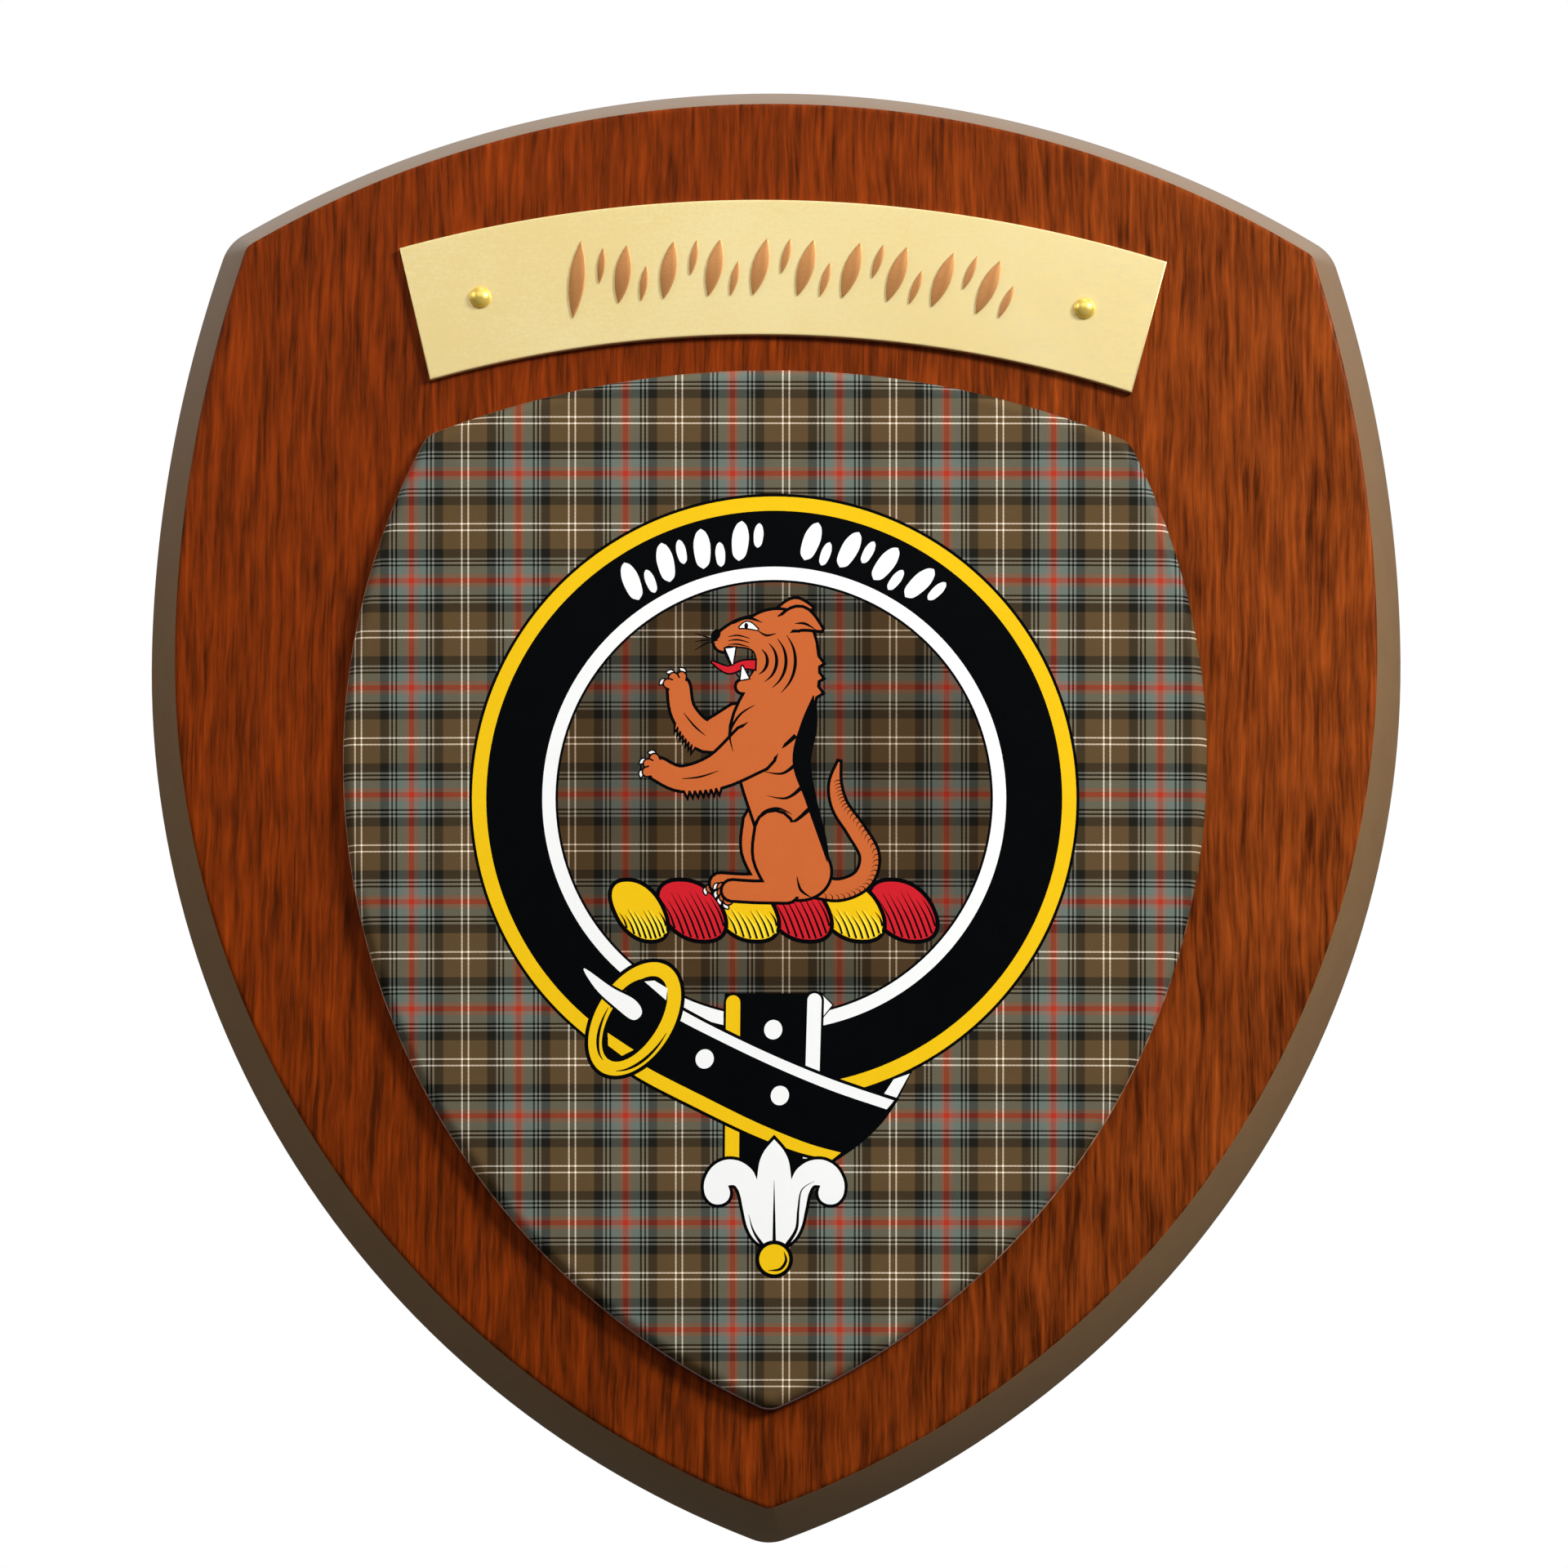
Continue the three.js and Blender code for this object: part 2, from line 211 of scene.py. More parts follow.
class Bench:
    """The moves that every piece is made with. Places are in millimetres."""

    @staticmethod
    def mode(name: str) -> None:
        """Put the active object into edit or object mode."""
        bpy.ops.object.mode_set(mode=name)

    @staticmethod
    def clear() -> None:
        """Leave edit mode and deselect every object."""
        if bpy.context.object and bpy.context.object.mode != "OBJECT":
            Bench.mode("OBJECT")
        bpy.ops.object.select_all(action="DESELECT")

    @staticmethod
    def pick(piece: Thing) -> None:
        """Select one object alone and make it active."""
        Bench.clear()
        piece.select_set(True)
        bpy.context.view_layer.objects.active = piece

    @staticmethod
    def named(name: str) -> Thing:
        """Name the active object and its mesh, and return it."""
        piece = bpy.context.object
        piece.name = piece.data.name = name
        return piece

    @staticmethod
    def placed(name: str, data: bpy.types.ID) -> Thing:
        """Put an object with given data into the scene and return it."""
        thing = bpy.data.objects.new(name, data)
        bpy.context.scene.collection.objects.link(thing)
        return thing

    @staticmethod
    def face_outwards(piece: Thing) -> None:
        """Turn all of a closed piece's faces outwards."""
        Bench.pick(piece)
        Bench.mode("EDIT")
        bpy.ops.mesh.select_all(action="SELECT")
        bpy.ops.mesh.normals_make_consistent(inside=False)
        Bench.mode("OBJECT")

    @staticmethod
    def select(piece: Thing, kind: str, wanted: Callable) -> None:
        """Select the faces or edges that a test picks, and stay in edit mode.

        Args:
            piece: The piece.
            kind: FACE or EDGE.
            wanted: A test that takes a face or an edge.
        """
        Bench.pick(piece)
        Bench.mode("EDIT")
        bpy.ops.mesh.select_mode(type=kind)
        bpy.ops.mesh.select_all(action="DESELECT")
        Bench.mode("OBJECT")
        for part in piece.data.polygons if kind == "FACE" else piece.data.edges:
            part.select = bool(wanted(part))
        Bench.mode("EDIT")

    @staticmethod
    def slab(name: str, outline: list[Point], back: float, front: float) -> Thing:
        """Add a slab with a given outline.

        Args:
            name: The piece's name.
            outline: Its outline as x and z.
            back: Depth of its back face.
            front: Depth of its front face.

        Returns:
            The slab.
        """
        Bench.clear()
        bpy.ops.mesh.primitive_circle_add(vertices=len(outline), fill_type="NGON")
        piece = Bench.named(name)
        for vertex, (x, z) in zip(piece.data.vertices, outline):
            vertex.co = Vector((x, back, z)) * MM
        Bench.select(piece, "FACE", lambda face: True)
        bpy.ops.mesh.extrude_region_move(TRANSFORM_OT_translate={"value": (0, (front - back) * MM, 0)})
        Bench.face_outwards(piece)
        return piece

    @staticmethod
    def soften(piece: Thing, depth: float, width: float, segments: int) -> None:
        """Bevel the edges that lie wholly at one depth.

        Args:
            piece: The piece.
            depth: The edges' depth.
            width: The bevel's width.
            segments: Number of flats across it.
        """
        level = {vertex.index for vertex in piece.data.vertices if abs(vertex.co.y / MM - depth) < SLACK}
        Bench.select(piece, "EDGE", lambda edge: level.issuperset(edge.vertices))
        bpy.ops.mesh.bevel(offset=width * MM, segments=segments)
        Bench.mode("OBJECT")

    @staticmethod
    def inset(piece: Thing, wanted: Callable, width: float, depth: float = 0.0) -> None:
        """Inset the faces that a test picks, and raise what is inside.

        Args:
            piece: The piece.
            wanted: A test that takes a face.
            width: Width of the border.
            depth: How far the inside is raised.
        """
        Bench.select(piece, "FACE", wanted)
        bpy.ops.mesh.inset(thickness=width * MM, depth=depth * MM)
        Bench.mode("OBJECT")

    @staticmethod
    def is_flat(face: bpy.types.MeshPolygon) -> bool:
        """Return whether a face is a whole flat front or back."""
        return abs(face.normal.y) > FLAT and len(face.vertices) > FEW_CORNERS

    @staticmethod
    def cut(piece: Thing, cutter: Thing) -> None:
        """Take one closed body away from another and delete the first.

        Args:
            piece: The piece that is cut.
            cutter: The body that is taken away.
        """
        Bench.pick(piece)
        boolean = piece.modifiers.new("cut", "BOOLEAN")
        boolean.operation = "DIFFERENCE"
        boolean.solver = "EXACT"
        boolean.object = cutter
        bpy.ops.object.modifier_apply(modifier=boolean.name)
        bpy.data.objects.remove(cutter)

    @staticmethod
    def bar(radius: float, front: float, back: float, at: Point, sides: int = 48) -> Thing:
        """Add a round bar along y.

        Args:
            radius: The bar's radius.
            front: Depth of its front end.
            back: Depth of its back end.
            at: Its place as x and z.
            sides: Number of flats round it.

        Returns:
            The bar.
        """
        Bench.clear()
        middle = (at[0] * MM, (front + back) / 2 * MM, at[1] * MM)
        size = {"vertices": sides, "radius": radius * MM, "depth": (back - front) * MM}
        bpy.ops.mesh.primitive_cylinder_add(**size, location=middle, rotation=(UPRIGHT, 0, 0))
        return bpy.context.object

    @staticmethod
    def block(low: Place, high: Place) -> Thing:
        """Add a block between its lowest and its highest corner.

        Args:
            low: Its lowest corner.
            high: Its highest corner.

        Returns:
            The block.
        """
        Bench.clear()
        start, end = Vector(low), Vector(high)
        bpy.ops.mesh.primitive_cube_add(size=1, location=(start + end) / 2 * MM, scale=(end - start) * MM)
        return bpy.context.object

    @staticmethod
    def settle(piece: Thing) -> None:
        """Put a piece's place, turn and size into its mesh."""
        Bench.pick(piece)
        bpy.ops.object.transform_apply(location=True, rotation=True, scale=True)

    @staticmethod
    def smooth(piece: Thing, angle: float) -> None:
        """Shade a piece smooth where its faces meet under an angle, in degrees."""
        Bench.pick(piece)
        bpy.ops.object.shade_smooth_by_angle(angle=math.radians(angle))

    @staticmethod
    def hand_over(piece: Thing, slot: str, node: str) -> None:
        """Fix a piece to the plaque and let it stand for its node.

        Args:
            piece: The finished piece.
            slot: The record's material slot; not used.
            node: The node that it stands for.
        """
        Bench.settle(piece)
        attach(piece, BODY)
        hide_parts(node)
        log.info("%s: %d faces, for %s", piece.name, len(piece.data.polygons), node)


# Shaders


@dataclass(frozen=True)
class Graph:
    """A node tree with short calls that add and link its nodes."""

    tree: bpy.types.NodeTree

    def feed(self, socket: Socket, value: Value) -> None:
        """Link an input to another node's output, or set it to a plain value.

        Args:
            socket: The input.
            value: An output, a number, a colour or a vector.
        """
        if isinstance(value, Socket):
            self.tree.links.new(value, socket)
        else:
            socket.default_value = value

    def add(self, kind: str, inputs: Inputs | None = None, **settings: object) -> Node:
        """Add a node.

        Args:
            kind: The node's type without its ShaderNode prefix.
            inputs: What its inputs take, by name or number.
            settings: Its own properties.

        Returns:
            The node.
        """
        node = self.tree.nodes.new(f"ShaderNode{kind}")
        for name, value in settings.items():
            setattr(node, name, value)
        for name, value in (inputs or {}).items():
            self.feed(node.inputs[name], value)
        return node

    def math(self, operation: str, first: Value, second: Value, clamp: bool = False) -> Socket:
        """Return the result of a Math node, kept from 0 to 1 if it is clamped."""
        return self.add("Math", {0: first, 1: second}, operation=operation, use_clamp=clamp).outputs[0]

    def plus(self, first: Value, second: Value) -> Socket:
        """Return a sum."""
        return self.math("ADD", first, second)

    def minus(self, first: Value, second: Value) -> Socket:
        """Return a difference."""
        return self.math("SUBTRACT", first, second)

    def times(self, first: Value, second: Value) -> Socket:
        """Return a product."""
        return self.math("MULTIPLY", first, second)

    def total(self, *parts: tuple[Value, Value]) -> Socket:
        """Return the sum of values, each times its share."""
        return reduce(self.plus, [self.times(value, share) for value, share in parts])

    def mapped(self, vector: Socket, scale: Place, turn: float = 0, shift: Place = (0, 0, 0)) -> Socket:
        """Return coordinates scaled, turned about y by an angle in radians, and shifted."""
        inputs = {"Vector": vector, "Scale": scale, "Rotation": (0, turn, 0), "Location": shift}
        return self.add("Mapping", inputs).outputs[0]

    def noise(self, vector: Socket, scale: Value, detail: float, roughness: float = 0.5) -> Socket:
        """Return a noise texture's value, with its features per unit, octaves and their strength."""
        inputs = {"Vector": vector, "Scale": scale, "Detail": detail, "Roughness": roughness}
        return self.add("TexNoise", inputs).outputs["Fac"]

    def ranged(self, value: Value, start: Point, end: Point = (0.0, 1.0), smooth: bool = True) -> Socket:
        """Return a value moved from one range to another.

        Args:
            value: The value.
            start: The range that it is in.
            end: The range that it is moved to.
            smooth: Whether the ends are eased.

        Returns:
            The output.
        """
        names = ("Value", "From Min", "From Max", "To Min", "To Max")
        inputs = dict(zip(names, (value, *start, *end)))
        kind = "SMOOTHSTEP" if smooth else "LINEAR"
        return self.add("MapRange", inputs, interpolation_type=kind).outputs[0]

    def mixed(self, factor: Value, first: Value, second: Value, blend: str = "MIX") -> Socket:
        """Return two colours mixed in one of the Mix node's ways, by the second's share."""
        colours = {0: factor, 6: first, 7: second}
        return self.add("Mix", colours, data_type="RGBA", blend_type=blend, clamp_result=False).outputs[2]

    def stepped(self, factor: Socket, stops: list[tuple[float, Colour]]) -> Socket:
        """Return a colour that holds from each stop to the next.

        Args:
            factor: Place along the stops, from 0 to 1.
            stops: Places and colours, in order.

        Returns:
            The output.
        """
        node = self.add("ValToRGB", {0: factor})
        band = node.color_ramp
        band.interpolation = "CONSTANT"
        while len(band.elements) < len(stops):
            band.elements.new(1.0)
        for element, (place, colour) in zip(band.elements, stops):
            element.position = place
            element.color = colour
        return node.outputs[0]

    def split(self, vector: Socket) -> Sockets:
        """Return a vector's three parts."""
        return self.add("SeparateXYZ", {0: vector}).outputs

    def own_place(self) -> Socket:
        """Return the coordinates of the piece's own frame."""
        return self.add("TexCoord").outputs["Object"]


class EffectGroup:
    """A shared effect: a node group with named inputs and outputs."""

    surface = {"Color": "Color", "Roughness": "Float", "Height": "Float"}

    def __init__(self, name: str, inputs: dict[str, str], outputs: dict[str, str]) -> None:
        """Make an empty group.

        Args:
            name: The group's name.
            inputs: Each input's name and kind.
            outputs: Each output's name and kind.
        """
        self.tree = bpy.data.node_groups.new(name, "ShaderNodeTree")
        for way, sockets in (("INPUT", inputs), ("OUTPUT", outputs)):
            for label, kind in sockets.items():
                self.tree.interface.new_socket(label, in_out=way, socket_type=f"NodeSocket{kind}")
        self.graph = Graph(self.tree)
        self.given = self.tree.nodes.new("NodeGroupInput").outputs
        self.made = self.tree.nodes.new("NodeGroupOutput").inputs

    def give(self, **results: Socket) -> None:
        """Link the group's outputs, by name."""
        for name, value in results.items():
            self.graph.feed(self.made[name], value)

    def place(self, graph: Graph, inputs: dict[str, Value]) -> Sockets:
        """Place the group in a material and return its outputs."""
        return graph.add("Group", inputs, node_tree=self.tree).outputs


class Effects:
    """The plaque's shared effects, each built once."""

    def __init__(self) -> None:
        """Build every effect."""
        self.grain = self._grain()
        self.mottle = self._mottle()
        self.sheet = self._sheet()
        self.sett = self._sett()

    def mottled(self, g: Graph, tint: Value, amount: float, scale: float, roughness: float) -> Sockets:
        """Return the outputs of a mottle that is placed in a material."""
        plain = {"Amount": amount, "Scale": scale, "Roughness": roughness}
        return self.mottle.place(g, {"Vector": g.own_place(), "Tint": tint, **plain})

    @staticmethod
    def _grain() -> EffectGroup:
        """Return upright wood grain: bands, fine streaks, and short dark pores.

        Returns:
            The group.
        """
        inputs = {"Vector": "Vector", "Light": "Color", "Dark": "Color", "Pore": "Color",
                  "Pore Strength": "Float", "Contrast": "Float", "Shift": "Float"}
        group = EffectGroup("wood_grain", inputs, EffectGroup.surface)
        g, given = group.graph, group.given
        drift = g.noise(g.mapped(given["Vector"], (1, 1, 0.4)), scale=60, detail=3)
        sway = g.add("CombineXYZ", {0: g.times(g.minus(drift, 0.5), 0.004)}).outputs[0]
        swayed = g.add("VectorMath", {0: given["Vector"], 1: sway}, operation="ADD").outputs[0]
        bands = g.noise(g.mapped(swayed, (1, 1, 0.12)), scale=240, detail=3, roughness=0.6)
        streaks = g.noise(g.mapped(swayed, (1, 1, 0.08)), scale=620, detail=2)
        fibres = g.noise(g.mapped(swayed, (1, 1, 0.045)), scale=1250, detail=3, roughness=0.7)
        flecks = g.noise(g.mapped(swayed, (1, 1, 0.05)), scale=2100, detail=2, roughness=0.6)
        clouds = g.noise(g.mapped(given["Vector"], (1, 1, 0.5)), scale=130, detail=3, roughness=0.55)
        tone = g.total((bands, 0.1), (streaks, 0.3), (fibres, 0.42), (clouds, 0.2))
        centred = g.plus(g.times(g.minus(tone, 0.5), given["Contrast"]), given["Shift"])
        shade = g.ranged(g.plus(centred, 0.5), (0.4, 0.69), smooth=False)
        pores = g.times(g.ranged(flecks, (0.52, 0.7)), g.ranged(streaks, (0.62, 0.42)))
        pores = g.times(pores, given["Pore Strength"])
        group.give(
            Color=g.mixed(pores, g.mixed(shade, given["Dark"], given["Light"]), given["Pore"]),
            Roughness=g.plus(g.ranged(streaks, (0.3, 0.7), (0.4, 0.31)), g.times(pores, 0.2)),
            Height=g.minus(g.times(streaks, 0.35), pores),
        )
        return group

    @staticmethod
    def _mottle() -> EffectGroup:
        """Return the faint unevenness of paint, lacquer or ink.

        Returns:
            The group.
        """
        inputs = {"Vector": "Vector", "Tint": "Color", "Amount": "Float", "Scale": "Float",
                  "Roughness": "Float"}
        group = EffectGroup("mottle", inputs, EffectGroup.surface)
        g, given = group.graph, group.given
        broad = g.noise(given["Vector"], given["Scale"], detail=3)
        fine = g.noise(given["Vector"], g.times(given["Scale"], 9), detail=2)
        swing = g.times(g.minus(g.total((broad, 0.6), (fine, 0.4)), 0.5), given["Amount"])
        level = g.plus(g.times(swing, 2), 1)
        grey = g.add("CombineColor", {0: level, 1: level, 2: level}).outputs[0]
        tinted = g.mixed(1.0, given["Tint"], grey, "MULTIPLY")
        group.give(Color=tinted, Roughness=g.plus(given["Roughness"], swing), Height=fine)
        return group

    @staticmethod
    def _sheet() -> EffectGroup:
        """Return the fine grain of rolled or polished sheet metal, with a broad soft tarnish.

        Returns:
            The group.
        """
        inputs = {"Vector": "Vector", "Metal": "Color", "Tarnish": "Color", "Amount": "Float",
                  "Roughness": "Float"}
        group = EffectGroup("sheet_grain", inputs, EffectGroup.surface)
        g, given = group.graph, group.given
        speckle = g.noise(g.mapped(given["Vector"], (1, 1, 1.3)), scale=1400, detail=3, roughness=0.6)
        rolled = g.noise(g.mapped(given["Vector"], (0.12, 1, 1)), scale=2600, detail=2)
        cloud = g.noise(given["Vector"], scale=26, detail=3)
        fine = g.total((speckle, 0.7), (rolled, 0.3))
        stain = g.times(g.ranged(g.total((fine, 0.5), (cloud, 0.5)), (0.4, 0.62)), given["Amount"])
        roughness = g.plus(given["Roughness"], g.ranged(fine, (0.35, 0.65), (-0.04, 0.06)))
        group.give(Color=g.mixed(stain, given["Metal"], given["Tarnish"]), Roughness=roughness, Height=fine)
        return group

    @staticmethod
    def _sett() -> EffectGroup:
        """Return the thread colours along one direction of the check, as they look on a screen.

        Returns:
            The group.
        """
        group = EffectGroup("check_sett", {"Offset": "Float", "Half Repeat": "Float"}, {"Color": "Color"})
        g, given = group.graph, group.given
        folded = g.math("PINGPONG", given["Offset"], given["Half Repeat"])
        share = g.math("DIVIDE", folded, given["Half Repeat"])
        group.give(Color=g.stepped(share, CheckThreads().stops()))
        return group


@dataclass(frozen=True)
class CheckThreads:
    """The threads of the check cloth, from the middle of its pale pair to the middle of its red bar.

    Widths are relative: together they make up half a repeat.
    """

    brown: Colour = (0.385, 0.31, 0.212, 1)
    pale: Colour = (1.22, 1.15, 1.06, 1)
    dark: Colour = (0.145, 0.14, 0.118, 1)
    light: Colour = (0.53, 0.55, 0.52, 1)
    black: Colour = (0.02, 0.025, 0.02, 1)
    blue: Colour = (0.43, 0.475, 0.445, 1)
    soft_red: Colour = (0.585, 0.43, 0.365, 1)
    red: Colour = (0.73, 0.23, 0.17, 1)
    widths: tuple[float, ...] = (3.0, 1.75, 22.0, 11.0, 2.7, 2.3, 2.7, 2.2, 9.9, 4.8, 3.2)

    def stops(self) -> list[tuple[float, Colour]]:
        """Return where each thread starts, as a share of the way, and its colour.

        Returns:
            The starts and colours, in order.
        """
        colours = (self.brown, self.pale, self.brown, self.dark, self.light, self.black,
                   self.light, self.black, self.blue, self.soft_red, self.red)
        ends = np.cumsum(self.widths)
        starts = [0.0, *(ends[:-1] / ends[-1])]
        return [(float(start), colour) for start, colour in zip(starts, colours)]


# Finishes


@dataclass(frozen=True)
class Finish:
    """A finish: a material with one surface."""

    name: str

    def made(self, effects: Effects) -> bpy.types.Material:
        """Return the material, built on first use.

        Args:
            effects: The plaque's shared effects.

        Returns:
            The material.
        """
        material = bpy.data.materials.get(self.name)
        if material is None:
            material = bpy.data.materials.new(self.name)
            material.use_nodes = True
            g = Graph(material.node_tree)
            self._lay(g, material.node_tree.nodes["Principled BSDF"], self.look(g, effects))
        return material

    def look(self, g: Graph, effects: Effects) -> Look:
        """Return the finish's colour, roughness and height, from its graph and the shared effects."""
        raise NotImplementedError

    def plain(self) -> dict[str, float]:
        """Return plain values for the surface's other sockets."""
        return {"Specular IOR Level": self.shine}

    def _lay(self, g: Graph, surface: Node, look: Look) -> None:
        """Feed the surface, with a fine relief whose height is in millimetres.

        Args:
            g: The material's graph.
            surface: Its surface shader.
            look: The finish's colour, roughness and height.
        """
        g.feed(surface.inputs["Base Color"], look["Color"])
        g.feed(surface.inputs["Roughness"], look["Roughness"])
        bump = g.add("Bump", {"Height": look["Height"], "Strength": 1.0, "Distance": self.relief * MM})
        g.feed(surface.inputs["Normal"], bump.outputs[0])
        for name, value in self.plain().items():
            surface.inputs[name].default_value = value


@dataclass(frozen=True)
class WoodFinish(Finish):
    """Stained wood with upright grain, with a painted light that makes it warmer and brighter towards its
    right and a painted shade that darkens it towards its foot.
    """

    light: Colour
    painted_light_tone: Colour
    dark: Colour
    pore: Colour
    pore_strength: float
    contrast: float
    relief: float
    shine: float = 0.04
    # Painted light: where the light tone turns to the warmer, brighter lit tone towards the right.
    painted_light_span: Point = (-0.03, 0.1)
    # Painted shade: the heights over which the tone shifts darker towards the foot, and by how much.
    painted_shade_span: Point = (-0.13, 0.02)
    painted_shade_shift: Point = (-0.032, 0.006)

    def look(self, g: Graph, effects: Effects) -> Look:
        """Return the finish's colour, roughness and height.

        Args:
            g: The material's graph.
            effects: The plaque's shared effects.

        Returns:
            What the surface is fed with.
        """
        x, _, z = g.split(g.own_place())
        # Painted light: the grain's light tone turns warmer and brighter towards the right.
        rightwards = g.minus(g.times(x, 0.9), g.times(z, 0.1))
        return effects.grain.place(g, {
            "Vector": g.own_place(),
            "Light": g.mixed(g.ranged(rightwards, self.painted_light_span), self.light, self.painted_light_tone),
            "Dark": self.dark,
            "Pore": self.pore,
            "Pore Strength": self.pore_strength,
            "Contrast": self.contrast,
            # Painted shade: the tone shifts darker towards the foot.
            "Shift": g.ranged(z, self.painted_shade_span, self.painted_shade_shift),
        })


@dataclass(frozen=True)
class PaintFinish(Finish):
    """A plain coat of paint, lacquer or ink, faintly uneven. Its scale is in features for each metre."""

    tint: Colour
    unevenness: float
    scale: float = 260.0
    roughness: float = 0.42
    shine: float = 0.06
    relief: float = 0.012

    def look(self, g: Graph, effects: Effects) -> Look:
        """Return a mottle of the tint."""
        return effects.mottled(g, self.tint, self.unevenness, self.scale, self.roughness)


@dataclass(frozen=True)
class RimFinish(Finish):
    """The inner shield's bare edge: broken tan and brown wear, a painted shade that browns it towards the
    upper right, and a pale grey painted highlight round the tip.
    """

    tan: Colour = painted(205, 168, 142)
    brown: Colour = painted(82, 44, 26)
    # Painted highlight: pale grey round the tip, below the heights given next.
    pale: Colour = painted(176, 164, 172)
    painted_highlight_heights: Point = (-0.117, -0.1)
    wear_scale: float = 420.0
    wear_span: Point = (0.42, 0.6)
    wear: Point = (0.0, 0.55)
    # Painted shade: the span of x plus z over which the edge turns brown towards the upper right.
    shade_span: Point = (0.0, 0.1)
    unevenness: float = 0.2
    scale: float = 700.0
    roughness: float = 0.5
    shine: float = 0.1
    relief: float = 0.01

    def look(self, g: Graph, effects: Effects) -> Look:
        """Return the finish's colour, roughness and height.

        Args:
            g: The material's graph.
            effects: The plaque's shared effects.

        Returns:
            What the surface is fed with.
        """
        x, _, z = g.split(g.own_place())
        worn = g.ranged(g.noise(g.own_place(), self.wear_scale, detail=3), self.wear_span, self.wear)
        # Painted shade: the edge turns browner towards the upper right.
        shaded = g.ranged(g.plus(x, z), self.shade_span)
        edge = g.mixed(g.math("ADD", worn, shaded, clamp=True), self.tan, self.brown)
        # Painted highlight: the edge turns pale grey round the tip.
        tint = g.mixed(g.ranged(z, self.painted_highlight_heights), self.pale, edge)
        return effects.mottled(g, tint, self.unevenness, self.scale, self.roughness)


@dataclass(frozen=True)
class MetalFinish(Finish):
    """Sheet or polished metal, with a share of a duller colour."""

    metal: Colour
    tarnish: Colour
    roughness: float
    metallic: float
    tarnished: float = 0.5
    relief: float = 0.008

    def look(self, g: Graph, effects: Effects) -> Look:
        """Return the metal's grain with its tarnish."""
        colours = {"Metal": self.metal, "Tarnish": self.tarnish, "Amount": self.tarnished}
        return effects.sheet.place(g, {"Vector": g.own_place(), **colours, "Roughness": self.roughness})

    def plain(self) -> dict[str, float]:
        """Return how metallic the surface is."""
        return {"Metallic": self.metallic}


@dataclass(frozen=True)
class PrintPlace:
    """How the print lies on the inner shield, in millimetres."""

    centre: Point = (-0.125, -1.696)
    turn: float = math.radians(0.5)
    stretch: Point = (0.9945, 1.0085)
    taper: float = 0.000135

    def to_shield(self, points: Array) -> Array:
        """Move points from the print's own frame to the shield's."""
        stretched = points * (1 + self.taper * points[:, 1:]) * np.array(self.stretch)
        return Pen.moved(stretched, self.centre, self.turn)


@dataclass(frozen=True)
class CheckFinish(Finish):
    """Check cloth printed on the inner shield, with a fine twill. Lengths are in millimetres."""

    place: PrintPlace
    shade: Colour
    half_repeat: float = 10.886
    pale_pair: Point = (2.41, 11.79)
    twill_pitch: float = 0.42
    twill_strength: float = 0.1
    display_gamma: float = 2.2
    unevenness: float = 0.1
    scale: float = 420.0
    roughness: float = 0.46
    shine: float = 0.03
    relief: float = 0.006

    def look(self, g: Graph, effects: Effects) -> Look:
        """Return the finish's colour, roughness and height.

        Args:
            g: The material's graph.
            effects: The plaque's shared effects.

        Returns:
            What the surface is fed with.
        """
        across, up = self._in_print(g)
        threads = []
        for along, pale_pair in ((across, self.pale_pair[0]), (up, self.pale_pair[1])):
            inputs = {"Offset": g.minus(along, pale_pair), "Half Repeat": self.half_repeat}
            threads.append(effects.sett.place(g, inputs)["Color"])
        twill = g.math("PINGPONG", g.math("DIVIDE", g.plus(across, up), self.twill_pitch), 1.0)
        over = g.plus(g.times(g.minus(twill, 0.5), self.twill_strength), 0.5)
        shaded = g.mixed(1.0, g.mixed(over, *threads), self.shade, "MULTIPLY")
        seen = g.add("Gamma", {"Color": shaded, "Gamma": self.display_gamma}).outputs[0]
        mottle = effects.mottled(g, seen, self.unevenness, self.scale, self.roughness)
        height = g.plus(twill, mottle["Height"])
        return {"Color": mottle["Color"], "Roughness": mottle["Roughness"], "Height": height}

    def _in_print(self, g: Graph) -> tuple[Socket, Socket]:
        """Return how far across and up the print a place lies, in millimetres.

        Args:
            g: The material's graph.

        Returns:
            The two distances.
        """
        centre_x, centre_z = self.place.centre
        in_mm = g.mapped(g.own_place(), (1 / MM, 1 / MM, 1 / MM), shift=(-centre_x, 0, -centre_z))
        turned = g.mapped(in_mm, (1, 1, 1), turn=self.place.turn)
        x_stretch, z_stretch = self.place.stretch
        square = g.mapped(turned, (1 / x_stretch, 1, 1 / z_stretch))
        narrowing = g.minus(1.0, g.times(g.split(square)[2], self.place.taper))
        even = g.add("VectorMath", {0: square, "Scale": narrowing}, operation="SCALE").outputs[0]
        across, _, up = g.split(even)
        return across, up


# The print


class Ink(Enum):
    """What a region of the inner shield is printed with."""

    CHECK = 0
    DEEP_CHECK = 1
    BLACK = 2
    GOLD = 3
    WHITE = 4
    RED = 5
    TAWNY = 6
    RIM = 7
    YELLOW = 8


@dataclass(frozen=True)
class Patch:
    """A closed region of one ink, printed over the patches before it."""

    outline: Array
    ink: Ink


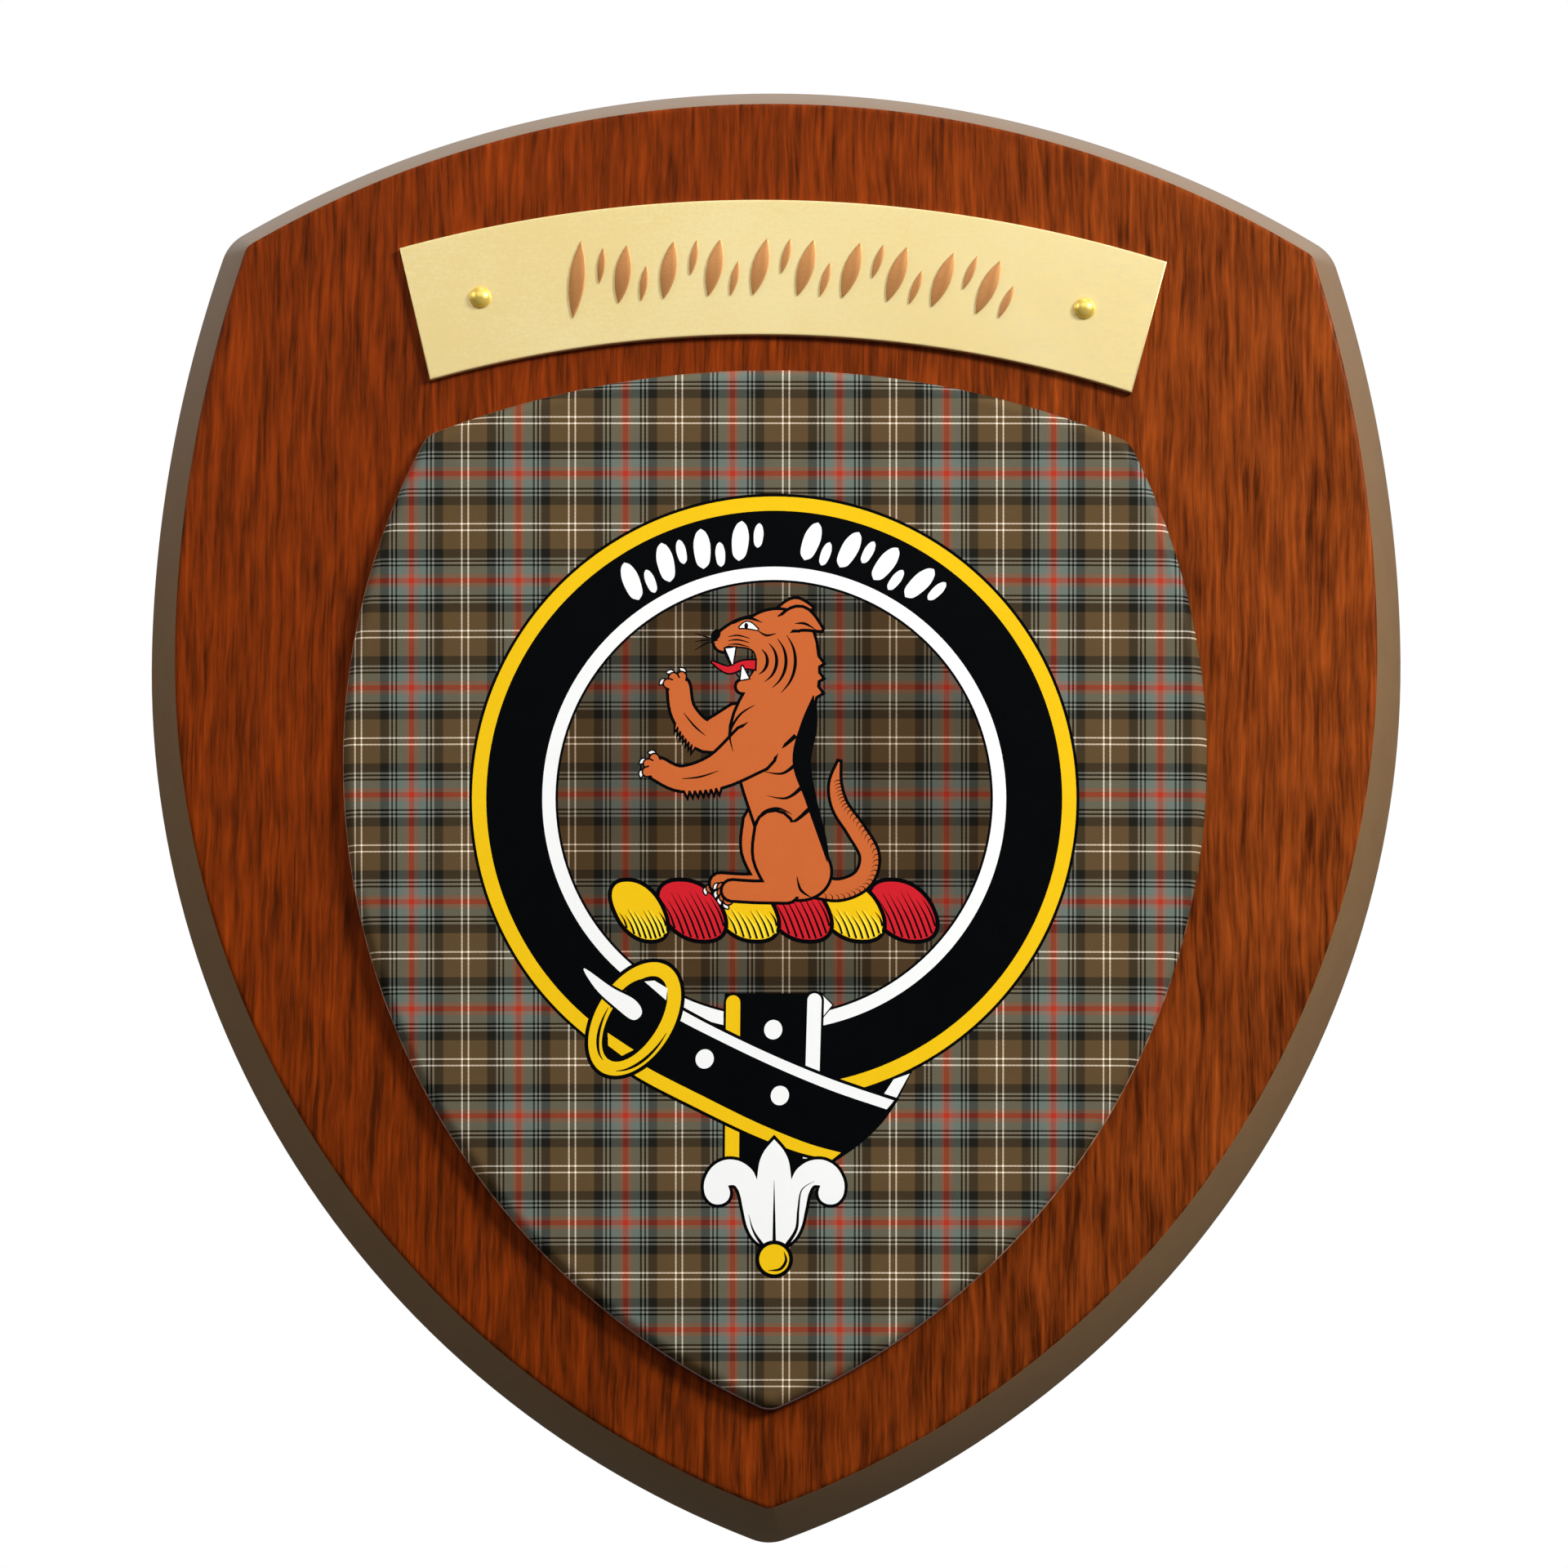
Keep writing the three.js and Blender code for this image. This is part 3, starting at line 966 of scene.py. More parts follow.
class Pen:
    """Draws outlines in millimetres."""

    @staticmethod
    def ellipse(centre: Point, half_length: float, half_width: float, turn: float, steps: int) -> Array:
        """Return an ellipse.

        Args:
            centre: Its middle.
            half_length: Half its long axis.
            half_width: Half its short axis.
            turn: The long axis's angle from the horizontal, in degrees.
            steps: Number of points.

        Returns:
            The points.
        """
        angles = np.arange(steps) * (ROUND / steps)
        along, across = half_length * np.cos(angles), half_width * np.sin(angles)
        return Pen.moved(np.stack([along, across], 1), centre, math.radians(turn))

    @staticmethod
    def disc(centre: Point, radius: float, steps: int = 200) -> Array:
        """Return a circle."""
        return Pen.ellipse(centre, radius, radius, 0, steps)

    @staticmethod
    def curve(points: list[Point], closed: bool, steps: int = 8) -> Array:
        """Return a smooth line through points.

        Args:
            points: The points that it passes.
            closed: Whether it returns to its start.
            steps: Points for each stretch.

        Returns:
            The points.
        """
        given = np.array(points, float)
        count = len(given)
        share = (np.arange(steps) / steps)[:, None]
        runs = []
        for index in range(count if closed else count - 1):
            picks = [index - 1, index, index + 1, index + 2]
            picks = [pick % count if closed else min(max(pick, 0), count - 1) for pick in picks]
            before, start, end, after = given[picks]
            runs.append(0.5 * (2 * start + (end - before) * share
                               + (2 * before - 5 * start + 4 * end - after) * share**2
                               + (3 * start - before - 3 * end + after) * share**3))
        if not closed:
            runs.append(given[-1:])
        return np.concatenate(runs)

    @staticmethod
    def grown(outline: Array, by: float) -> Array:
        """Return a closed outline moved outwards.

        Args:
            outline: The points.
            by: The distance.

        Returns:
            The moved points.
        """
        x, y = outline.T
        area = float(np.sum(x * np.roll(y, -1) - np.roll(x, -1) * y))
        edge = np.roll(outline, -1, 0) - outline
        length = np.maximum(np.linalg.norm(edge, axis=1, keepdims=True), TINY)
        normal = np.stack([edge[:, 1], -edge[:, 0]], 1) / length * (1 if area > 0 else -1)
        corner = normal + np.roll(normal, 1, 0)
        corner /= np.maximum(np.linalg.norm(corner, axis=1, keepdims=True), TINY)
        lean = np.maximum(np.sum(corner * normal, 1, keepdims=True), 0.5)
        return outline + corner * (by / lean)

    @staticmethod
    def ribbon(points: list[Point], widths: list[float], steps: int = 6) -> Array:
        """Return the outline of a stroke whose width changes along it.

        Args:
            points: The points that it passes.
            widths: Its width at each of them.
            steps: Points for each stretch.

        Returns:
            The points, up one side and back along the other.
        """
        spine = Pen.curve(points, False, steps)
        half = Pen.curve([(width / 2,) for width in widths], False, steps)
        heading = np.gradient(spine, axis=0)
        heading /= np.maximum(np.linalg.norm(heading, axis=1, keepdims=True), TINY)
        aside = np.stack([-heading[:, 1], heading[:, 0]], 1)
        return np.concatenate([spine + aside * half, (spine - aside * half)[::-1]])

    @staticmethod
    def limb(points: list[Point], widths: list[float]) -> Array:
        """Return the outline of a ribbon with round ends.

        Args:
            points: The joints that it passes.
            widths: Its width at each of them.

        Returns:
            The points.
        """
        sides = Pen.ribbon(points, widths)
        count = len(sides) // 2
        caps = []
        for first, last in ((sides[count - 1], sides[count]), (sides[-1], sides[0])):
            middle, reach = (first + last) / 2, (first - last) / 2
            ahead = np.array([reach[1], -reach[0]])
            turns = np.linspace(0, math.pi, 8)[1:-1, None]
            caps.append(middle + reach * np.cos(turns) + ahead * np.sin(turns))
        return np.concatenate([sides[:count], caps[0], sides[count:], caps[1]])

    @staticmethod
    def stroke(points: list[Point], width: float = 0.5) -> Patch:
        """Return a black line that swells in its middle and ends in points."""
        widths = 0.12 + width * np.sin(np.linspace(0, math.pi, len(points)))
        return Patch(Pen.ribbon(points, list(widths)), Ink.BLACK)

    @staticmethod
    def wedge(points: list[Point], width: float, ink: Ink = Ink.BLACK) -> Patch:
        """Return a line that starts in a point and grows towards its end."""
        widths = 0.06 + np.linspace(0, width, len(points))
        return Patch(Pen.ribbon(points, list(widths)), ink)

    @staticmethod
    def lined(outline: Array, ink: Ink, line: float = 0.5) -> list[Patch]:
        """Return a region with a black line round it."""
        return Pen.joined([outline], ink, line)

    @staticmethod
    def joined(outlines: list[Array], ink: Ink, line: float) -> list[Patch]:
        """Return regions that run into each other, with one black line round them all."""
        under = [Patch(Pen.grown(outline, line), Ink.BLACK) for outline in outlines]
        return under + [Patch(outline, ink) for outline in outlines]

    @staticmethod
    def moved(outline: Array, centre: Point, turn: float) -> Array:
        """Return points turned about their own origin by an angle in radians, and then moved."""
        cosine, sine = math.cos(turn), math.sin(turn)
        return outline @ np.array([[cosine, sine], [-sine, cosine]]) + centre


@dataclass(frozen=True)
class Belt:
    """The strap and buckle round the crest, from the middle of its ring."""

    outer_line: float = 62.1
    gold_radius: float = 61.5
    black_radius: float = 58.6
    white_radius: float = 47.2
    inner_line: float = 44.5
    field_radius: float = 44.0
    mark_radius: float = 52.9
    mark_height: float = 8.2
    mark_width: float = 3.3
    slim_height: float = 5.084
    slim_width: float = 1.9
    slim_place: Point = (3.612, 1.394)
    mark_starts: Point = (33.3, -8.2)
    marks_in_group: int = 4
    mark_step: float = 8.6
    mark_lean: float = math.radians(12)
    eyelet_radii: Point = (2.0, 1.85)
    edge_width: float = 2.9
    buckle_centre: Point = (-28.4, -44.8)
    buckle_tilt: float = 57.8

    def ring(self) -> list[Patch]:
        """Return the round part of the belt and the field inside it."""
        rings = [(self.outer_line, Ink.BLACK), (self.gold_radius, Ink.GOLD), (self.black_radius, Ink.BLACK),
                 (self.white_radius, Ink.WHITE), (self.inner_line, Ink.BLACK),
                 (self.field_radius, Ink.DEEP_CHECK)]
        return [Patch(Pen.disc((0.0, 0.0), radius), ink) for radius, ink in rings]

    def marks(self) -> list[Patch]:
        """Return two groups of marks round the top, each a broad leaf with a slim one, low and high in turn.

        Returns:
            The marks.
        """
        patches = []
        across, up = self.slim_place
        broad = self._leaf(self.mark_height, self.mark_width)
        slim = self._leaf(self.slim_height, self.slim_width)
        for start in self.mark_starts:
            for mark in range(self.marks_in_group):
                turn = math.radians(start - mark * self.mark_step)
                place = (-self.mark_radius * math.sin(turn), self.mark_radius * math.cos(turn))
                for leaf in (broad, slim + (across, up if mark % 2 else -up)):
                    patches.append(Patch(Pen.moved(leaf, place, turn - self.mark_lean), Ink.WHITE))
        return patches

    @staticmethod
    def _leaf(length: float, width: float) -> Array:
        """Return an upright leaf with pointed ends, about its own middle.

        Args:
            length: Its length.
            width: Its greatest width.

        Returns:
            The points.
        """
        half = [(0.0, -length / 2), (width * 0.36, -length * 0.38), (width / 2, -length * 0.12),
                (width / 2, length * 0.16), (width * 0.3, length * 0.4), (0.0, length / 2)]
        side = Pen.curve(half, False, 5)
        return np.concatenate([side, side[1:-1][::-1] * (-1, 1)])

    def loop(self) -> list[Patch]:
        """Return the strap's end that is looped over the ring and hangs down behind the slanted part.

        Returns:
            The strap's end with its fold, its gold and white edges and an eyelet.
        """
        hanging = np.array([(-9.9, -39.8), (9.8, -39.8), (9.4, -78.0), (-9.9, -78.0)])
        patches = Pen.lined(hanging, Ink.BLACK, 0.2)
        fold = np.array([(9.7, -39.9), (11.8, -42.0), (9.7, -44.6)])
        patches += Pen.lined(fold, Ink.WHITE, 0.3)
        patches += Pen.lined(self._edge((-8.35, -40.0), (-8.6, -73.5)), Ink.GOLD)
        patches += Pen.lined(self._edge((8.2, -39.6), (7.3, -73.2)), Ink.WHITE)
        return [*patches, self._eyelet((-0.2, -47.0), 80)]

    def _edge(self, top: Point, foot: Point) -> Array:
        """Return one of the hanging end's coloured edges, with a round top.

        Args:
            top: The middle of its top.
            foot: The middle of its foot.

        Returns:
            The points.
        """
        half = self.edge_width / 2
        angles = np.linspace(math.pi, 0, 10)
        crown = np.stack([half * np.cos(angles), half * np.sin(angles) - half], 1) + top
        return np.concatenate([crown, np.array([(half, 0), (-half, 0)]) + foot])

    def _eyelet(self, centre: Point, tilt: float) -> Patch:
        """Return an eyelet of the strap, tilted by an angle in degrees."""
        return Patch(Pen.ellipse(centre, *self.eyelet_radii, tilt, 32), Ink.WHITE)

    def slant(self) -> list[Patch]:
        """Return the strap's slanted part, from the buckle down to its cut end at the right.

        Returns:
            The strap with its white and gold edges and two eyelets.
        """
        upper, below_white, above_gold, lower, end = (Pen.curve(points, False) for points in (
            [(-28.3, -37.2), (-20.5, -42.0), (-12.0, -46.6), (0.0, -52.3), (12.0, -57.2), (24.4, -61.4)],
            [(-29.4, -39.1), (-21.3, -44.0), (-12.5, -48.6), (-0.6, -54.3), (11.4, -59.3), (22.9, -63.2)],
            [(-36.2, -47.8), (-26.5, -54.3), (-14.5, -60.5), (-3.5, -65.9), (6.5, -70.0), (13.6, -72.0)],
            [(-36.4, -50.4), (-27.7, -56.7), (-16.0, -62.8), (-5.0, -68.1), (4.5, -71.8), (11.7, -73.5)],
            [(24.4, -61.4), (21.4, -65.6), (17.0, -69.8), (11.7, -73.5)],
        ))
        patches = Pen.lined(np.concatenate([upper, end[1:], lower[::-1][1:]]), Ink.BLACK, 0.66)
        patches.append(Patch(np.concatenate([upper, below_white[::-1]]), Ink.WHITE))
        patches.append(Patch(np.concatenate([above_gold, lower[::-1]]), Ink.GOLD))
        return patches + [self._eyelet(centre, 70) for centre in ((-14.15, -52.95), (1.15, -60.4))]

    def crossing_end(self) -> list[Patch]:
        """Return the ring's own cut end beside the slanted part, and the turned edge of the strap."""
        behind = np.array([(18.4, -59.0), (28.2, -55.3), (25.0, -61.6), (18.8, -60.2)])
        turned = np.array([(24.3, -57.1), (27.6, -55.9), (24.9, -60.8), (22.4, -60.0)])
        return [Patch(behind, Ink.BLACK), Patch(turned, Ink.WHITE)]

    def buckle(self) -> list[Patch]:
        """Return the tilted oval buckle and its tongue, with the strap's edges where they show through it.

        Returns:
            The buckle.
        """
        patches = []
        ovals = (13.5, 8.6, 96, Ink.BLACK), (12.7, 7.8, 96, Ink.GOLD), (9.8, 4.95, 80, Ink.BLACK)
        for length, width, steps, ink in ovals:
            oval = Pen.ellipse(self.buckle_centre, length, width, self.buckle_tilt, steps)
            patches.append(Patch(oval, ink))
        white_through = np.array([(-26.4, -37.2), (-24.4, -37.0), (-21.7, -38.6), (-22.0, -41.0)])
        gold_through = np.array([(-33.9, -47.6), (-28.6, -51.1), (-31.0, -52.3), (-33.8, -50.2)])
        patches += [Patch(white_through, Ink.WHITE), Patch(gold_through, Ink.GOLD)]
        for oval, span in (((11.7, 7.02), (200, 275)), ((9.0, 5.4), (20, 95)), ((10.7, 5.8), (95, 170))):
            patches.append(self._glint(oval, span))
        tongue = Pen.curve([(-38.7, -34.5), (-33.0, -38.4), (-28.4, -40.9), (-26.9, -43.5), (-28.8, -45.0),
                            (-32.6, -42.2), (-36.4, -38.6)], True)
        return patches + Pen.lined(tongue, Ink.WHITE)

    def _glint(self, oval: Point, span: Point) -> Patch:
        """Return a thin line that follows part of the buckle.

        Args:
            oval: The half axes of the oval that it follows.
            span: Where it starts and ends, in degrees round the oval.

        Returns:
            The line.
        """
        angles = np.radians(np.linspace(*span, 7))
        line = np.stack([np.cos(angles), np.sin(angles)], 1) * oval
        return Pen.stroke(list(Pen.moved(line, self.buckle_centre, math.radians(self.buckle_tilt))))

    def chape(self) -> list[Patch]:
        """Return the lily-shaped metal end of the strap, with a ball under it.

        Returns:
            The metal end.
        """
        leaf = [(0.0, -69.3), (1.9, -71.5), (3.0, -73.9), (3.5, -77.5)]
        curl = [(3.5, -77.5), (4.6, -75.4), (7.1, -73.7), (10.1, -73.5), (12.7, -75.0), (14.2, -77.8),
                (14.1, -80.5), (12.8, -82.2), (11.0, -82.5), (9.5, -81.7), (9.0, -80.2), (9.4, -78.7)]
        foot = [(9.4, -78.7), (8.0, -78.7), (7.0, -80.4), (6.3, -83.7), (5.5, -87.1), (4.1, -89.6),
                (1.9, -91.3)]
        right = np.concatenate([Pen.curve(leaf, False, 4)[:-1], Pen.curve(curl, False, 5)[:-1],
                                Pen.curve(foot, False, 5)])
        left = right[1:][::-1] * (-1, 1)
        return [
            *Pen.lined(np.concatenate([right, left]), Ink.WHITE, 0.66),
            Pen.wedge([(0, -77.6), (0, -83.6), (0, -91.2)], 0.7),
            Pen.wedge([(8.2, -77.8), (5.6, -79.6), (4.9, -83.6), (4.5, -87.6), (2.4, -91.0)], 0.75),
            Pen.wedge([(-5.2, -84.6), (-4.2, -88.0), (-2.4, -90.8)], 0.7),
            *Pen.lined(Pen.disc((0, -93.7), 3.05, 40), Ink.GOLD, 0.8),
            Pen.stroke([(2.0, -92.2), (2.4, -94.0), (1.2, -95.7), (-1.2, -96.0)], 0.5),
        ]

    def patches(self) -> list[Patch]:
        """Return all of the belt, from the back to the front."""
        parts = (self.ring, self.marks, self.loop, self.crossing_end, self.slant, self.buckle, self.chape)
        return [patch for part in parts for patch in part()]


@dataclass(frozen=True)
class Torse:
    """The twisted wreath that the figure sits on."""

    first: Point = (-27.5, -22.8)
    pitch: float = 10.75
    count: int = 6
    half_width: float = 5.9
    half_height: float = 5.9
    lean: float = 0.42
    squareness: float = 2.3
    first_narrowing: float = 0.8
    outline: float = 0.85
    steps: int = 48
    hatch_count: int = 9
    hatch_span: Point = (-0.84, 0.88)

    def on_twist(self, across: Array, up: Array, narrowing: float) -> Array:
        """Return places on a leaning twist, from shares of its half width and of its half height."""
        z = self.half_height * up
        return np.stack([self.half_width * narrowing * across - self.lean * z, z], -1)

    def edge(self, narrowing: float) -> Array:
        """Return a twist's outline: an oval with full corners.

        Args:
            narrowing: Share of the full width that this twist has.

        Returns:
            The points.
        """
        turns = np.arange(self.steps) * (ROUND / self.steps)
        power = 2 / self.squareness
        across, up = (np.sign(side) * np.abs(side) ** power for side in (np.cos(turns), np.sin(turns)))
        return self.on_twist(across, up, narrowing)

    def hatching(self, centre: Point, tall: bool, narrowing: float) -> list[Patch]:
        """Return the lines along a twist's lower side, each with a pale one beside it on a yellow twist.

        Args:
            centre: The twist's middle.
            tall: Whether the lines run over most of the twist.
            narrowing: Share of the full width that this twist has.

        Returns:
            The lines.
        """
        patches = []
        for share in np.linspace(*self.hatch_span, self.hatch_count):
            low = -0.97 * (1 - abs(share) ** self.squareness) ** (1 / self.squareness)
            high = (0.62 if tall else -0.05) * math.cos(share - 0.1) - 0.12 * math.cos(9 * share)
            across, up = [share - 0.05, share + 0.03, share], [high, (high + low) / 2, low]
            dark = self.on_twist(np.array(across), np.array(up), narrowing) + centre
            if not tall and abs(share) < 0.8:
                patches.append(Patch(Pen.ribbon(list(dark + (0.42, 0)), [0.05, 0.5, 0.4]), Ink.YELLOW))
            patches.append(Patch(Pen.ribbon(list(dark), [0.05, 0.36, 0.44]), Ink.BLACK))
        return patches

    def patches(self) -> list[Patch]:
        """Return the twists, the leftmost in front.

        Returns:
            The twists with their lines.
        """
        patches = []
        for twist in reversed(range(self.count)):
            centre = (self.first[0] + twist * self.pitch, self.first[1])
            red = twist % 2 == 1
            narrowing = 1.0 if twist else self.first_narrowing
            patches += Pen.lined(self.edge(narrowing) + centre, Ink.RED if red else Ink.GOLD, self.outline)
            patches += self.hatching(centre, red, narrowing)
        return patches


@dataclass(frozen=True)
class Cat:
    """A plain heraldic cat, seated upright with its forepaws raised, facing left.

    It is put together from round-ended limbs, in millimetres from the middle of the belt.
    """

    outline: float = 0.64
    toe_length: float = 2.3
    toe_width: float = 1.7
    toe_line: float = 0.34
    claw_length: float = 1.5
    claw_hook: float = 0.7
    claw_widths: Place = (1.1, 0.9, 0.1)
    thin_line: float = 0.3
    tuft_count: int = 7
    ribs: int = 4
    cheek_lines: int = 4
    whiskers: int = 3
    mouth_corner: Point = (-4.4, 28.4)

    def fur(self, *limbs: Array) -> list[Patch]:
        """Return tawny limbs that run into each other."""
        return Pen.joined(list(limbs), Ink.TAWNY, self.outline)

    def paw(self, wrist: Point, facing: float, toes: int, spread: float) -> list[Patch]:
        """Return a paw's toes, each with a white claw that hooks down.

        Args:
            wrist: Where the toes start.
            facing: Where the middle of the paw points, in degrees.
            toes: Number of toes.
            spread: Angle between neighbours, in degrees.

        Returns:
            The toes and claws.
        """
        patches = []
        for toe in range(toes):
            turn = math.radians(facing + (toe - (toes - 1) / 2) * spread)
            way = np.array([math.cos(turn), math.sin(turn)])
            knuckle = wrist + way * self.toe_length
            hook = knuckle + way * self.claw_length + np.array([-way[1], way[0]]) * self.claw_hook
            claw = [knuckle + way * 0.4, knuckle + way * self.claw_length * 0.8, hook]
            patches += Pen.lined(Pen.ribbon(claw, self.claw_widths, 3), Ink.WHITE, self.thin_line)
            toe_outline = Pen.limb([wrist, knuckle], [self.toe_width, self.toe_width])
            patches += Pen.lined(toe_outline, Ink.TAWNY, self.toe_line)
        return patches

    @staticmethod
    def tufts(start: Point, end: Point, sag: Point, count: int) -> list[Array]:
        """Return a row of short tufts of fur.

        Args:
            start: Where the row starts.
            end: Where it ends.
            sag: Where each tuft's point stands from its root.
            count: Number of tufts.

        Returns:
            The tufts.
        """
        first, reach = np.array(start), np.array(sag)
        step = (np.array(end) - first) / count
        return [np.array([root - reach, root + reach, root + step, root + step - reach])
                for root in (first + step * tuft for tuft in range(count))]

    def tail(self) -> list[Patch]:
        """Return the tail, which sweeps out behind and up, with short hairs along its outer side.

        Returns:
            The tail.
        """
        spine = [(7.0, -17.4), (13.0, -18.6), (18.0, -16.4), (19.4, -11.6), (16.6, -6.4), (13.4, -1.6),
                 (12.4, 3.0), (13.2, 7.4)]
        limb = Pen.ribbon(spine, [4.2, 3.8, 3.6, 3.4, 3.2, 2.8, 2.0, 0.2])
        patches = self.fur(limb)
        outer = limb[len(limb) // 2:][::-1]
        for root, after in zip(outer[4:-5], outer[5:]):
            inward = np.array([root[1] - after[1], after[0] - root[0]])
            inward /= np.linalg.norm(inward)
            start = root + inward * 1.2 + (root - after) * 0.5
            patches.append(Pen.wedge([start, root + inward * 0.6, root], 0.2))
        return patches

    def arm(self, joints: list[Point], widths: list[float], facing: float, sag: Point) -> list[Patch]:
        """Return a foreleg with its paw and a fringe under it.

        Args:
            joints: Shoulder, elbow, forearm and wrist.
            widths: Its width at each.
            facing: Where the paw points, in degrees.
            sag: Where the fringe's tufts point.

        Returns:
            The foreleg.
        """
        elbow, forearm, wrist = (np.array(joint) for joint in joints[1:])
        below = np.array([forearm[1] - elbow[1], elbow[0] - forearm[0]]) / np.linalg.norm(forearm - elbow)
        if below[1] > 0:
            below = -below
        start, end = elbow + below * widths[1] * 0.44, forearm + below * widths[2] * 0.44
        patches = self.fur(Pen.limb(joints, widths), *self.tufts(start, end, sag, self.tuft_count))
        patches += self.paw(wrist, facing, toes=3, spread=42)
        patches.append(Patch(Pen.disc(wrist, widths[-1] * 0.46, 24), Ink.TAWNY))
        patches.append(Pen.stroke([elbow, (elbow + forearm) / 2 + (0, -0.4), forearm], 0.28))
        return patches

    def leg(self, aside: Point, toes: int) -> list[Patch]:
        """Return a folded hind leg with its foot.

        Args:
            aside: How far it stands from the near one.
            toes: Number of toes that show.

        Returns:
            The leg.
        """
        away = np.array(aside)
        shank = Pen.limb([away + (0.0, -6.5), away + (-1.2, -12.0), away + (1.4, -18.2)], [7.5, 5.6, 4.6])
        foot = Pen.limb([away + (2.6, -18.9), away + (-3.4, -19.0), away + (-8.6, -18.7)], [4.2, 3.8, 3.8])
        return self.paw(away + (-8.4, -18.6), 206, toes, spread=26) + self.fur(shank, foot)

    def body(self) -> list[Patch]:
        """Return the head, neck, chest, waist and haunch, with the dark band along the spine and the ribs.

        Returns:
            The body.
        """
        trunk = Pen.limb([(2.4, 24.0), (-1.4, 13.6), (-0.6, 4.4), (2.4, -5.0), (4.4, -13.2)],
                         [11.5, 14.6, 12.0, 12.0, 12.6])
        rump = Pen.ellipse((4.8, -14.6), 6.6, 5.8, -12, 64)
        spine = Pen.ribbon([(8.0, 21.0), (6.9, 15.0), (5.4, 7.6), (7.2, 0.0), (9.6, -8.0), (10.8, -13.0)],
                           [0.2, 3.0, 3.4, 2.0, 1.2, 0.1])
        far_ear = Pen.ribbon([(1.6, 37.4), (4.4, 39.2), (7.6, 38.8)], [2.8, 2.8, 0.2])
        skull = Pen.ellipse((-0.2, 32.3), 7.4, 5.9, 16, 64)
        nape = Pen.limb([(3.2, 31.4), (3.4, 25.0), (2.0, 17.0)], [10.4, 11.0, 11.0])
        muzzle = Pen.limb([(-1.6, 33.0), (-6.4, 33.1), (-10.2, 32.0)], [9.0, 6.4, 4.0])
        jaw = Pen.limb([(0.4, 26.4), (-3.6, 23.6), (-6.4, 22.8)], [8.0, 4.4, 2.4])
        ruff = self.tufts((8.3, 29.5), (8.0, 20.5), (1.5, -2.0), 3)
        patches = [Patch(Pen.grown(spine, 0.4), Ink.BLACK), *self.fur(far_ear)]
        patches += self.fur(trunk, rump, skull, nape, muzzle, jaw, *ruff)
        patches.append(Patch(spine, Ink.BLACK))
        for rib in range(self.ribs):
            x, z = 4.2 + 0.9 * rib, 11.6 - 5.0 * rib
            patches.append(Pen.wedge([(x - 7.6, z - 1.0), (x - 3.4, z - 1.5), (x + 0.2, z + 1.2)], 0.9))
        return patches

    def near_leg(self) -> list[Patch]:
        """Return the hind leg on this side, whose thigh runs into the haunch.

        Returns:
            The leg.
        """
        return [
            *self.leg((0.0, 0.0), 4),
            Patch(Pen.ellipse((4.6, -12.4), 7.6, 5.2, 96, 64), Ink.TAWNY),
            Pen.stroke([(-3.6, -5.6), (-2.4, -3.0), (0.6, -2.0), (3.6, -3.2)], 0.45),
            Pen.stroke([(4.6, -15.8), (5.4, -18.6), (7.6, -20.2)], 0.45),
        ]

    def face(self) -> list[Patch]:
        """Return the near ear, mouth, nose, eye and cheek.

        Returns:
            The face.
        """
        near_ear = Pen.ribbon([(2.0, 35.6), (5.4, 36.6), (9.6, 34.4)], [3.0, 4.4, 0.3])
        eye = Pen.ribbon([(-7.0, 34.8), (-5.4, 35.3), (-3.4, 34.4)], [0.2, 1.3, 0.2])
        return [
            *self.fur(near_ear),
            Patch(Pen.ellipse((1.8, 35.2), 2.2, 2.0, 30, 24), Ink.TAWNY),
            Pen.stroke([(4.2, 35.6), (6.2, 35.6), (8.4, 34.4)], 0.4),
            *self.mouth(),
            Patch(Pen.ellipse((-11.9, 33.3), 1.3, 0.9, 60, 20), Ink.BLACK),
            *Pen.lined(eye, Ink.WHITE, 0.28),
            Patch(Pen.ellipse((-5.7, 35.1), 0.65, 0.4, 90, 14), Ink.BLACK),
            Pen.stroke([(-8.4, 35.5), (-5.6, 36.8), (-2.4, 35.8)], 0.62),
            Pen.stroke([(-3.4, 34.2), (-1.6, 33.2), (0.4, 33.6)], 0.35),
            *self.cheek(),
        ]

    def cheek(self) -> list[Patch]:
        """Return the lines round the mouth's corner, and the whiskers with their roots.

        Returns:
            The lines.
        """
        patches = []
        for line in range(self.cheek_lines):
            turns = np.radians(np.linspace(-66 + 6 * line, 52 - 5 * line, 6))
            arc = np.stack([np.cos(turns), np.sin(turns)], 1) * (3.0 + 1.9 * line)
            patches.append(Pen.stroke(list(arc + np.array(self.mouth_corner) - (0, 0.4)), 0.55))
        for whisker in range(self.whiskers):
            rise = 0.8 - 1.1 * whisker
            hair = [(-11.4, 32.2), (-13.8, 32.4 + rise * 0.6), (-16.2, 32.4 + rise * 1.6)]
            root = [(-9.4, 32.9 - 0.8 * whisker), (-7.4, 33.2 - 0.9 * whisker), (-5.0, 32.6 - 0.9 * whisker)]
            patches += [Pen.stroke(hair, 0.18), Pen.stroke(root, 0.22)]
        return patches

